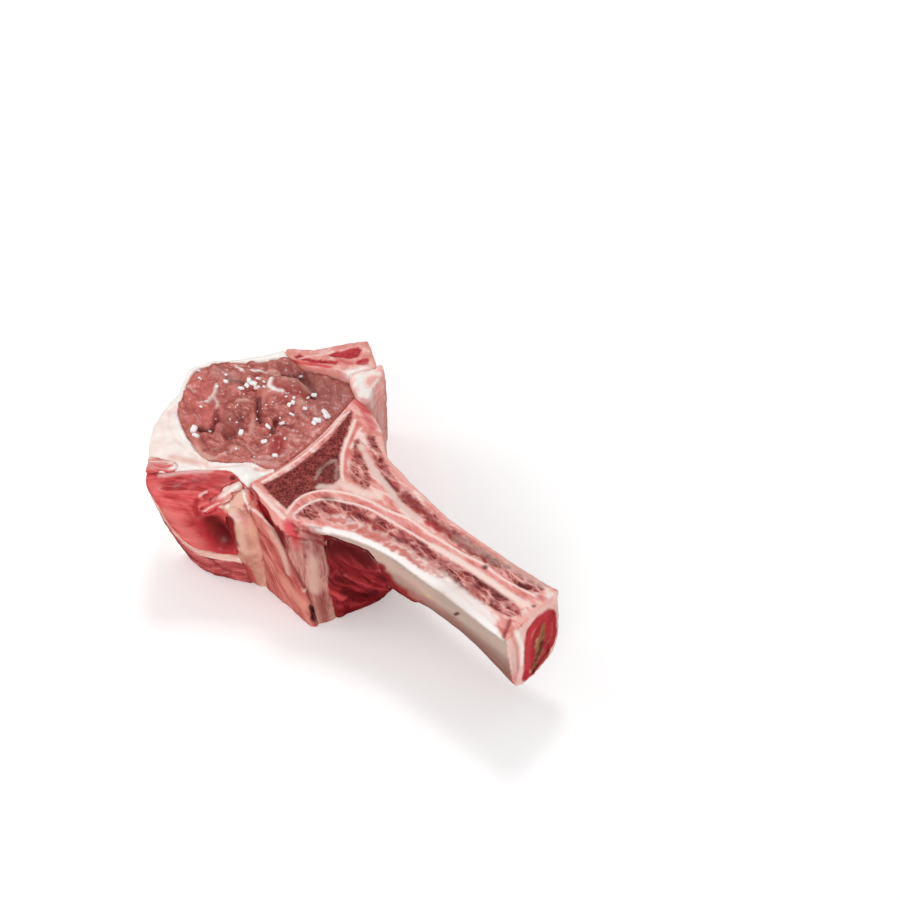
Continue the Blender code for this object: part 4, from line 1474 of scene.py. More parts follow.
@dataclass(frozen=True)
class Studio:
    """Pale floor and soft light round the cutlet.

    Attributes:
        floor_size: Width of the floor, in metres.
        floor_drop: How far the floor lies below the cutlet's underside, in metres.
        floor_glow: Light that the floor gives off, which keeps it white.
        ambient: Strength of the even light from all sides.
        look_height: Height above the floor that the lamps face, in metres.
        lamps: Name, azimuth, elevation, distance and width in metres, and power in watts.
    """

    floor_size: float = 8.0
    floor_drop: float = 0.0001
    floor_glow: float = 0.14
    ambient: float = 0.56
    look_height: float = 0.02
    lamps: tuple[tuple[str, float, float, float, float, float], ...] = (
        ("key", 226.0, 60.0, 0.9, 0.20, 1.9),
        ("side", 300.0, 35.0, 1.0, 0.4, 1.2),
        ("front", 40.0, 25.0, 1.1, 0.6, 4.3))

    def build(self) -> None:
        """Make the floor, the even light and the lamps."""
        mesh = bpy.data.meshes.new("floor")
        half = self.floor_size / 2.0
        mesh.from_pydata([(-half, -half, 0), (half, -half, 0), (half, half, 0), (-half, half, 0)],
                         [], [(0, 1, 2, 3)])
        floor = bpy.data.objects.new("floor", mesh)
        floor.location.z = -self.floor_drop
        bpy.context.scene.collection.objects.link(floor)
        graph = Graph("floor")
        graph.shader.inputs["Base Color"].default_value = (1.0, 1.0, 1.0, 1.0)
        graph.shader.inputs["Emission Color"].default_value = (1.0, 1.0, 1.0, 1.0)
        graph.shader.inputs["Emission Strength"].default_value = self.floor_glow
        graph.shader.inputs["Roughness"].default_value = 0.9
        graph.shader.inputs["Specular IOR Level"].default_value = 0.0
        mesh.materials.append(graph.material)
        floor.visible_glossy = False
        world = bpy.data.worlds.new("even_light")
        world.use_nodes = True
        background = world.node_tree.nodes["Background"]
        background.inputs["Color"].default_value = (1.0, 1.0, 1.0, 1.0)
        background.inputs["Strength"].default_value = self.ambient
        world.cycles_visibility.glossy = False
        bpy.context.scene.world = world
        for name, azimuth, elevation, distance, width, power in self.lamps:
            self.lamp(name, azimuth, elevation, distance, width, power)
        bpy.context.scene.view_settings.view_transform = "Standard"

    def lamp(self, name: str, azimuth: float, elevation: float, distance: float, width: float,
             power: float) -> None:
        """Add one soft lamp that faces the cutlet.

        Args:
            name: Its name.
            azimuth: Its direction round the cutlet, as for the camera.
            elevation: Its height above the horizon, in degrees.
            distance: Its distance, in metres.
            width: Its width, in metres.
            power: Its power, in watts.
        """
        data = bpy.data.lights.new(name, "AREA")
        data.shape, data.size, data.energy = "SQUARE", width, power
        turn, lift = math.radians(azimuth), math.radians(elevation)
        back = Vector((math.sin(turn) * math.cos(lift), -math.cos(turn) * math.cos(lift),
                       math.sin(lift)))
        lamp = bpy.data.objects.new(name, data)
        lamp.location = back * distance + Vector((0, 0, self.look_height))
        lamp.rotation_mode = "QUATERNION"
        lamp.rotation_quaternion = back.to_track_quat("Z", "Y")
        bpy.context.scene.collection.objects.link(lamp)


EYE_FINISH = Finish("eye_meat", (Tone.EYE_DEEP, Tone.EYE, Tone.EYE_LIGHT), blotch=4.5, grain=0.8,
                    depth=0.06, mottle=0.6, roughness=0.42, wet=0.3, glow=0.08)
FAT_FINISH = Finish("white_fat", (Tone.BLUSH_FAT, Tone.CREAM_FAT, Tone.WHITE_FAT), Pattern.FAT,
                    blotch=11.0, grain=1.4, depth=0.05, mottle=0.08, roughness=0.45, wet=0.25, glow=0.1)
STRIP_FINISH = Finish("strip_meat", (Tone.FLAP, Tone.STRIP, Tone.BLUSH_FAT), Pattern.FIBRE,
                      blotch=3.0, grain=0.6, stretch=(6.0, 1.0, 1.0), turn=(0, 0, -42), depth=0.08)
FLAP_FINISH = Finish("flap_meat", (Tone.FLAP_DEEP, Tone.FLAP, Tone.FLAP_LIGHT), Pattern.FIBRE,
                     blotch=3.4, grain=0.7, stretch=(9.0, 1.2, 1.0), turn=(0, -14, -42),
                     depth=0.05, mottle=0.35, roughness=0.44, shine=0.3, wet=0.15, glow=0.08)
FLAP_FAT_FINISH = Finish("flap_fat", (Tone.STRIP, Tone.FILM, Tone.BLUSH_FAT), Pattern.FIBRE,
                         blotch=4.0, grain=0.9, stretch=(8.0, 1.0, 1.0), turn=(0, 0, -42),
                         depth=0.06, mottle=0.2, glow=0.2)
LOWER_FINISH = Finish("lower_meat", (Tone.LOWER_DEEP, Tone.LOWER, Tone.LOWER_LIGHT), Pattern.FIBRE,
                      blotch=2.8, grain=0.6, stretch=(9.0, 1.0, 1.0), turn=(0, 12, -42), depth=0.10)
SLAB_FINISH = Finish("slab_fat", (Tone.SLAB_DEEP, Tone.SLAB, Tone.SLAB_LIGHT), Pattern.FAT,
                     blotch=6.0, grain=1.2, depth=0.05, mottle=0.15, roughness=0.45, wet=0.3, glow=0.2)
LAMELLA_FINISH = Finish("leaf_tissue", (Tone.LAMELLA_DEEP, Tone.LAMELLA, Tone.LAMELLA_LIGHT),
                        Pattern.FIBRE, blotch=2.4, grain=0.6, stretch=(1.0, 1.0, 7.0),
                        turn=(0, 38, 0), depth=0.08, glow=0.12)
SLIT_FINISH = Finish("slit_meat", (Tone.MAROON_DEEP, Tone.MAROON, Tone.FLAP_DEEP), Pattern.FIBRE,
                     blotch=2.0, grain=0.5, stretch=(1.0, 1.0, 6.0), turn=(0, 38, 0), shine=0.2,
                     wet=0.1)
COLUMN_FINISH = Finish("column", (Tone.COLUMN_DEEP, Tone.COLUMN, Tone.COLUMN_LIGHT), Pattern.FIBRE,
                       blotch=2.6, grain=0.6, stretch=(1.0, 1.0, 6.0), turn=(0, 14, 0), depth=0.09)
RIB_MEAT_FINISH = Finish("rib_meat", (Tone.RIB_MEAT_DEEP, Tone.RIB_MEAT, Tone.RIB_MEAT_LIGHT),
                         Pattern.FIBRE, blotch=3.0, grain=0.6, stretch=(8.0, 1.2, 1.0),
                         turn=(0, -24, -8), depth=0.06, roughness=0.38, shine=0.3, wet=0.3, glow=0.06)
BONE_FINISH = Finish("sawn_bone", (Tone.BONE_DEEP, Tone.BONE, Tone.BONE_LIGHT), Pattern.BONE,
                     blotch=3.6, grain=0.8, stretch=(3.0, 1.0, 1.0), depth=0.02, mottle=0.15,
                     roughness=0.5, shine=0.2, wet=0.08, glow=0.10)
FEATHER_FINISH = Finish("feather_bone", (Tone.SALMON, Tone.FEATHER_PINK, Tone.FEATHER_LIGHT),
                        Pattern.BONE, blotch=5.0, grain=0.8, stretch=(1.0, 1.0, 2.5), depth=0.06)
FEATHER_SIDE_FINISH = Finish("feather_side", (Tone.FEATHER_PINK, Tone.FEATHER_LIGHT, Tone.WHITE_AND_HIGHLIGHT),
                             Pattern.FIBRE, blotch=4.0, grain=0.9, stretch=(1.0, 1.0, 6.0),
                             depth=0.05, mottle=0.15, glow=0.3)
SINEW_FINISH = Finish("sinew", (Tone.SALMON, Tone.MEMBRANE, Tone.BLUSH_FAT), Pattern.FAT,
                      blotch=3.0, grain=0.8, depth=0.03, mottle=0.1, glow=0.2)

# Each mark gives its path, width, tone, cover, rise, soft share and wander, as far as they differ
# from what a mark has by itself. They are laid in this order, so a later one hides an earlier one.
EYE_MARKS = (
    Mark(((304, 376), (318, 384), (334, 394)), 17, Tone.EYE_PALE_END, 0.6, 0.0, 0.8, 1.0),
    # The dark marks with a groove in this list paint shade into the eye's clefts.
    Mark(((303, 374), (309, 386), (313, 397)), 3.0, Tone.CLEFT_SHADE_AND_DOT, 0.7, -1.1, 0.8),
    Mark(((217, 412), (216, 424), (210, 429), (200, 430)), 1.7, Tone.CLEFT_SHADE_AND_DOT, 0.95, -1.6),
    Mark(((224, 434), (231, 437), (241, 426), (240, 412)), 2.0, Tone.CLEFT_SHADE_AND_DOT, 0.55, -0.8, 0.8),
    Mark(((230, 424),), 9.0, Tone.EYE_DEEP, 0.5, 0.9, 0.7),
    Mark(((210, 412), (204, 420)), 7.0, Tone.FLAP_LIGHT, 0.35, 0.9, 0.8),
    Mark(((200, 388), (198, 400)), 9.0, Tone.FLAP_LIGHT, 0.35, 0.9, 0.8),
    Mark(((259, 400), (258, 411), (260, 421)), 1.7, Tone.CLEFT_SHADE_AND_DOT, 0.85, -1.2),
    Mark(((276, 420), (273, 431)), 1.6, Tone.CLEFT_SHADE_AND_DOT, 0.85, -1.1),
    Mark(((280, 440), (275, 451)), 3.2, Tone.FLAP_DEEP, 0.85, -0.5, 0.7),
    Mark(((227, 378), (238, 382), (243, 384)), 1.7, Tone.CLEFT_SHADE_AND_DOT, 0.75, -0.9),
    Mark(((284, 376), (300, 378)), 1.5, Tone.CLEFT_SHADE_AND_DOT, 0.7, -0.7),
    Mark(((276, 387), (290, 394), (303, 396)), 5.0, Tone.FLAP_DEEP, 0.45, 0.5, 0.8),
    Mark(((217, 386), (216, 393), (214, 398), (210, 402), (201, 407)), 1.2, Tone.MEMBRANE, 0.95, 0.6),
    Mark(((214, 398), (218, 404), (218, 409)), 1.1, Tone.MEMBRANE, 0.9, 0.4),
    # White streak on a wet ridge: membrane, with its painted highlight.
    Mark(((272, 382), (270, 387), (275, 391), (283, 393)), 1.5, Tone.WHITE_FAT, 0.9, 0.3),
    Mark(((263, 403), (266, 397), (272, 394), (282, 395)), 1.3, Tone.EYE_LIGHT, 0.8, 0.7),
    Mark(((286, 382), (297, 382), (305, 386), (309, 391)), 2.0, Tone.FILM, 0.55, 0.5, 0.7, 0.6),
    Mark(((251, 370), (258, 372), (266, 373)), 1.0, Tone.WHITE_FAT, 0.95, 0.2),
    Mark(((236, 367), (243, 370)), 1.0, Tone.WHITE_FAT, 0.95, 0.3),
    Mark(((266, 373), (276, 375), (284, 380)), 1.2, Tone.FILM, 0.7, 0.2),
    Mark(((198, 450), (208, 459), (222, 457), (232, 453), (237, 449)), 1.5, Tone.FILM, 0.85, 0.4),
    Mark(((246, 445), (250, 450), (255, 455)), 1.0, Tone.FILM, 0.7, 0.3),
    Mark(((253, 422), (251, 432)), 1.7, Tone.FILM, 0.6, 0.2),
    Mark(((189, 388), (194, 395)), 0.9, Tone.MEMBRANE, 0.7, 0.2),
    Mark(((195, 417), (199, 423)), 0.9, Tone.MEMBRANE, 0.7, 0.2),
    Mark(((237, 402), (247, 401)), 1.6, Tone.FILM, 0.7, 0.3),
    Mark(((220, 371), (232, 378)), 5.0, Tone.FILM, 0.4, 0.2, 0.8, 1.0),
    Mark(((277, 407),), 1.8, Tone.FILM, 0.45, 0.0),
    Mark(((300, 403), (312, 409), (319, 417)), 2.0, Tone.FILM, 0.45, 0.3, 0.8, 0.7),
    Mark(((301, 415), (308, 420)), 1.4, Tone.FILM, 0.6, 0.3),
    Mark(((255, 462), (276, 464)), 2.0, Tone.FILM, 0.6, 0.0, 0.8),
)
FAT_MARKS = (
    Mark(((175, 407), (170, 412), (169, 421), (171, 432), (178, 442), (188, 451), (197, 458)),
         0.9, Tone.FEATHER_LIGHT, 0.6, -0.15),
    Mark(((162, 425), (160, 440), (166, 452), (182, 460)), 7.0, Tone.BLUSH_FAT, 0.55, 0.0, 0.9, 1.0),
    Mark(((172, 458), (190, 462), (206, 465)), 2.2, Tone.SALMON, 0.55, 0.0, 0.9),
    Mark(((186, 432), (192, 446), (205, 458), (216, 463), (240, 463), (262, 465), (275, 470)), 1.4,
         Tone.WHITE_FAT, 1.0, 0.2),
    Mark(((206, 468), (225, 468), (242, 466)), 0.9, Tone.SALMON, 0.5, -0.1),
    Mark(((257, 470), (268, 470)), 1.8, Tone.SALMON, 0.7, -0.1),
    Mark(((240, 474), (247, 480)), 5.0, Tone.WHITE_FAT, 0.9, 0.5, 0.8),
    Mark(((252, 489), (256, 495), (260, 502)), 2.8, Tone.END_RED, 0.95, 0.0, 0.6),
    Mark(((150, 472), (170, 473)), 1.6, Tone.WHITE_FAT, 1.0, 0.1),
)
STRIP_MARKS = (
    Mark(((150, 466), (162, 466), (172, 466)), 2.6, Tone.FLAP, 0.6, 0.0),
    Mark(((152, 462), (172, 463)), 0.9, Tone.BLUSH_FAT, 0.8, 0.1),
    Mark(((171, 463), (176, 467), (172, 469)), 1.5, Tone.CREAM_FAT, 0.8, 0.1, 0.9, 0.6),
)
FLAP_MARKS = (
    Mark(((168, 512), (184, 530), (199, 543)), 4.6, Tone.STRIP, 0.75, 0.0, 0.9, 0.6),
    Mark(((205, 479), (222, 480), (236, 481)), 5.0, Tone.FLAP_DEEP, 0.55, 0.0, 0.9, 0.5),
    Mark(((153, 484), (157, 491)), 3.0, Tone.FLAP_LIGHT, 0.8, 0.2, 0.9),
    Mark(((160, 477), (180, 474), (212, 471)), 1.5, Tone.BLUSH_FAT, 0.55, 0.2, 0.9),
    Mark(((163, 490), (185, 490), (206, 490)), 0.9, Tone.FLAP_DEEP, 0.85, -0.5),
    # These four marks paint shade into the flap's dark hollow, with a groove.
    Mark(((203, 520), (212, 530), (222, 540)), 9.0, Tone.FLAP_DEEP, 0.7, -0.8, 0.9, 0.5),
    Mark(((211, 523), (218, 529), (224, 537)), 5.0, Tone.HOLLOW_SHADE, 0.7, -1.0, 0.9),
    Mark(((214, 522), (222, 528), (229, 537)), 6.5, Tone.HOLLOW_SHADE, 0.65, 0.0, 0.9, 0.4),
    Mark(((219, 527), (227, 536)), 2.2, Tone.MAROON_DEEP, 0.6, 0.0, 0.9),
    Mark(((201, 524), (208, 538), (219, 549), (234, 550)), 2.6, Tone.END_RED, 0.85, 0.6, 0.9),
    Mark(((197, 500), (195, 508), (198, 518)), 1.5, Tone.FLAP_DEEP, 0.8, -0.7),
    Mark(((176, 500), (190, 516), (203, 536)), 1.6, Tone.FLAP_DEEP, 0.4, -0.3, 0.9),
    Mark(((166, 496), (184, 500), (194, 508)), 1.2, Tone.FLAP_DEEP, 0.45, -0.3, 0.9),
    Mark(((233, 478),), 1.7, Tone.CLEFT_SHADE_AND_DOT, 1.0, -0.9, 0.5),
    Mark(((205, 495), (213, 499)), 2.2, Tone.FLAP_DEEP, 0.9, -0.6),
    Mark(((200, 495), (206, 492)), 1.0, Tone.BLUSH_FAT, 0.85, 0.5),
    Mark(((217, 496), (224, 490)), 1.0, Tone.WHITE_FAT, 0.9, 0.5),
    Mark(((238, 486), (228, 492), (217, 498), (208, 504)), 1.7, Tone.FILM, 0.85, 0.5),
    Mark(((199, 506), (208, 501), (216, 501)), 1.1, Tone.FLAP_LIGHT, 0.9, 0.7),
    Mark(((203, 511), (212, 506), (222, 506)), 1.1, Tone.BLUSH_FAT, 0.7, 0.7),
    Mark(((205, 515), (216, 512), (227, 513)), 1.8, Tone.RED_STAIN, 0.85, 0.6),
    Mark(((244, 495), (237, 501), (230, 507)), 4.2, Tone.SLAB_LIGHT, 0.97, 0.2, 0.4, 0.1),
    Mark(((236, 509), (244, 510)), 3.4, Tone.SLAB_LIGHT, 0.95, 0.0, 0.5, 0.1),
    Mark(((228, 505), (232, 508)), 1.6, Tone.CREAM_FAT, 0.8, 0.1, 0.8),
    Mark(((241, 490), (233, 497), (225, 504)), 0.8, Tone.FLAP_DEEP, 0.9, -0.4),
    Mark(((250, 487), (252, 497), (254, 510)), 3.2, Tone.LAMELLA_LIGHT, 0.95, 0.0, 0.5, 0.1),
    Mark(((251, 493), (253, 500), (257, 506)), 1.3, Tone.END_RED, 0.95, -0.3, 0.6),
    Mark(((243, 491), (246, 500), (251, 507), (255, 510)), 0.9, Tone.WHITE_FAT, 0.95, 0.2, 0.5, 0.05),
    Mark(((245, 505), (249, 514)), 0.9, Tone.FLAP_DEEP, 0.9, -0.3),
)
LAYER_MARKS = (
    Mark(((170, 514), (183, 529), (197, 543)), 1.0, Tone.FILM, 0.8, -0.1),
    Mark(((205, 549), (225, 556), (244, 557)), 3.0, Tone.SLAB_LIGHT, 0.7, 0.0, 0.9),
)
TENDON_MARKS = (
    Mark(((238, 486), (229, 492), (218, 499)), 1.0, Tone.WHITE_FAT, 0.8, 0.1),
    Mark(((243, 489), (232, 495), (219, 502)), 1.6, Tone.LAMELLA_LIGHT, 0.85, -0.2, 0.8),
    Mark(((243, 493), (233, 499), (222, 505)), 0.9, Tone.WHITE_FAT, 0.85, 0.1),
    Mark(((202, 516), (207, 511), (214, 506)), 6.0, Tone.FLAP, 0.97, -0.6, 0.7),
    Mark(((203, 512), (211, 507), (219, 504)), 1.0, Tone.BLUSH_FAT, 0.7, 0.2),
    Mark(((209, 515), (217, 510)), 1.2, Tone.RED_STAIN, 0.8, -0.2),
)
LOWER_MARKS = (
    Mark(((190, 545), (205, 558)), 4.0, Tone.LOWER_LIGHT, 0.6, 0.0, 0.9),
    Mark(((193, 541), (205, 553), (218, 565), (230, 572)), 1.1, Tone.LOWER_DEEP, 0.85, -0.5),
    Mark(((216, 561), (236, 561), (254, 563)), 1.0, Tone.LOWER_LIGHT, 0.7, 0.2),
    Mark(((250, 566), (254, 578)), 3.6, Tone.LOWER_DEEP, 0.7, 0.0, 0.9),
    Mark(((225, 570), (245, 573)), 1.0, Tone.LOWER_DEEP, 0.5, -0.2),
)
SLAB_MARKS = (
    # Maroon on the slab's left edge: painted shade of the hollow beside the flap.
    Mark(((229, 519), (230, 529), (233, 541)), 4.8, Tone.MAROON, 1.0, -0.4, 0.3, 0.2),
    Mark(((234, 545), (237, 549)), 3.0, Tone.END_RED, 0.95, -0.2, 0.5),
    Mark(((246, 566), (250, 574), (253, 583)), 4.4, Tone.LOWER, 1.0, -0.2, 0.3, 0.2),
    Mark(((232, 510), (239, 519)), 3.0, Tone.BLUSH_FAT, 0.8, 0.0, 0.9),
    Mark(((240, 498), (234, 502), (228, 507)), 4.6, Tone.SLAB_LIGHT, 0.95, 0.2, 0.8),
    Mark(((241, 526), (243, 548)), 3.2, Tone.SLAB_LIGHT, 0.75, 0.1, 0.9),
    Mark(((246, 500), (252, 512), (257, 524)), 3.6, Tone.SALMON, 0.85, 0.0, 0.9, 0.4),
    Mark(((237, 515), (243, 519), (248, 525)), 2.6, Tone.STRIP, 0.5, 0.0, 0.9, 0.8),
    Mark(((262, 535), (268, 552), (277, 572)), 3.0, Tone.SLAB_DEEP, 0.6, 0.0, 0.9, 0.5),
    Mark(((251, 528), (257, 546), (262, 566)), 2.6, Tone.SALMON, 0.4, 0.0, 0.9, 0.8),
    Mark(((247, 503), (255, 520), (262, 531), (268, 541)), 1.1, Tone.FLAP_DEEP, 0.9, -0.4),
)
LAMELLA_MARKS = (
    Mark(((252, 508), (262, 522), (272, 537)), 2.2, Tone.LAMELLA_LIGHT, 0.6, 0.0, 0.9, 0.4),
    Mark(((246, 506), (252, 518), (258, 528), (266, 537), (272, 546)), 1.0, Tone.FLAP_DEEP, 0.9, -0.3),
    Mark(((243, 490), (245, 498)), 2.0, Tone.WHITE_FAT, 0.95, 0.2),
    Mark(((259, 507), (266, 517), (273, 526), (281, 536), (288, 545)), 2.0, Tone.FLAP_DEEP, 0.9, -0.3,
         0.35, 0.3),
    Mark(((266, 516), (272, 524), (279, 532)), 0.9, Tone.MAROON_DEEP, 0.85, -0.2),
    Mark(((246, 500), (251, 507), (259, 513), (266, 521), (277, 533), (287, 545), (293, 553)), 0.9,
         Tone.BLUSH_FAT, 0.9, 0.3, 0.5, 0.1),
    Mark(((262, 524), (270, 536), (276, 547)), 0.7, Tone.LAMELLA_DEEP, 0.8, -0.1),
    Mark(((273, 532), (280, 545), (285, 560), (289, 572)), 1.9, Tone.COLUMN_LIGHT, 0.85, 0.1, 0.7),
    Mark(((290, 548), (297, 560), (303, 575), (307, 585), (304, 591)), 0.9, Tone.MEMBRANE, 0.9, 0.3),
    Mark(((292, 562), (297, 574), (302, 585)), 2.2, Tone.COLUMN_DEEP, 0.6, -0.1, 0.8),
    Mark(((295, 578), (300, 587)), 1.0, Tone.FLAP_DEEP, 0.7, -0.1),
    Mark(((311, 590), (314, 604), (316, 620)), 2.6, Tone.COLUMN_DEEP, 0.7, 0.0, 0.8),
    Mark(((308, 597), (309, 607)), 1.8, Tone.END_RED, 0.85, 0.0),
    # Painted shade in a hole at the foot of the column.
    Mark(((311, 606), (313, 612), (314, 618)), 1.9, Tone.HOLE_SHADE, 1.0, -1.0, 0.4),
    Mark(((287, 582), (294, 593), (303, 604)), 5.0, Tone.SALMON, 0.92, 0.0, 0.8),
)
SLIT_MARKS = (
    Mark(((260, 507), (267, 515), (275, 525), (282, 533)), 1.6, Tone.MAROON_DEEP, 0.7, 0.0, 0.9),
    Mark(((250, 493), (255, 503)), 1.8, Tone.END_RED, 0.85, 0.0, 0.9),
    Mark(((289, 541), (292, 547)), 1.6, Tone.END_RED, 0.7, 0.0),
)
COLUMN_MARKS = (
    Mark(((302, 540), (311, 546), (317, 554)), 4.4, Tone.COLUMN_DEEP, 0.5, 0.0, 0.9, 0.8),
    Mark(((300, 546), (303, 560)), 1.2, Tone.FILM, 0.8, 0.1, 0.8),
    Mark(((311, 543), (312, 556)), 1.2, Tone.FILM, 0.7, 0.1, 0.8),
    Mark(((290, 532), (294, 538), (297, 544)), 3.2, Tone.RED_STAIN, 0.9, 0.0, 0.9, 1.4),
    Mark(((298, 537),), 1.4, Tone.MAROON, 0.9, -0.2),
    Mark(((303, 530), (308, 532)), 1.4, Tone.FLAP_DEEP, 0.85, -0.2),
    Mark(((305, 540), (307, 547)), 1.4, Tone.COLUMN_DEEP, 0.8, -0.1, 0.8),
    Mark(((306, 556), (307, 563)), 1.3, Tone.LOWER_DEEP, 0.8, -0.2),
    Mark(((297, 548), (301, 562)), 1.4, Tone.COLUMN_DEEP, 0.5, 0.0, 0.9),
    Mark(((313, 560), (314, 573), (315, 588)), 3.6, Tone.COLUMN_LIGHT, 0.9, 0.3, 0.8),
    Mark(((321, 564), (322, 577)), 1.1, Tone.MAROON, 0.9, -0.5),
    Mark(((320, 602), (324, 617)), 4.4, Tone.COLUMN_DEEP, 0.65, 0.0, 0.9, 0.6),
    Mark(((290, 548), (297, 560), (303, 575), (307, 587)), 0.9, Tone.MEMBRANE, 0.8, 0.2),
    # Painted shade in a hole at the foot of the column.
    Mark(((312, 606), (313, 611), (315, 617)), 1.9, Tone.HOLE_SHADE, 1.0, -1.4, 0.4),
)
RIB_MEAT_MARKS = (
    # The next two marks are painted shadow where the rib overhangs the meat.
    Mark(((327, 546), (348, 549), (368, 558)), 5.5, Tone.RIB_MEAT_DEEP, 0.95, -0.6, 0.9),
    Mark(((347, 592), (360, 595), (374, 593)), 4.0, Tone.RIB_MEAT_DEEP, 0.95, -0.4, 0.8),
    Mark(((322, 548), (327, 560), (329, 570), (325, 581)), 1.6, Tone.FILM, 0.8, 0.6),
    Mark(((321, 560), (322, 576)), 1.1, Tone.MAROON_DEEP, 0.9, -0.5),
    Mark(((333, 576), (336, 570), (340, 573), (343, 577)), 1.1, Tone.RIB_MEAT_LIGHT, 0.9, 0.7),
    Mark(((345, 560), (364, 568), (382, 571)), 1.1, Tone.RIB_MEAT_LIGHT, 0.8, 0.5),
    Mark(((340, 566), (362, 577), (384, 579)), 1.0, Tone.RIB_MEAT_DEEP, 0.8, -0.4),
    Mark(((345, 574), (366, 584), (387, 588)), 1.1, Tone.FLAP, 0.7, 0.5),
    Mark(((324, 588), (334, 592), (343, 598)), 2.2, Tone.FLAP, 0.7, 0.3),
)
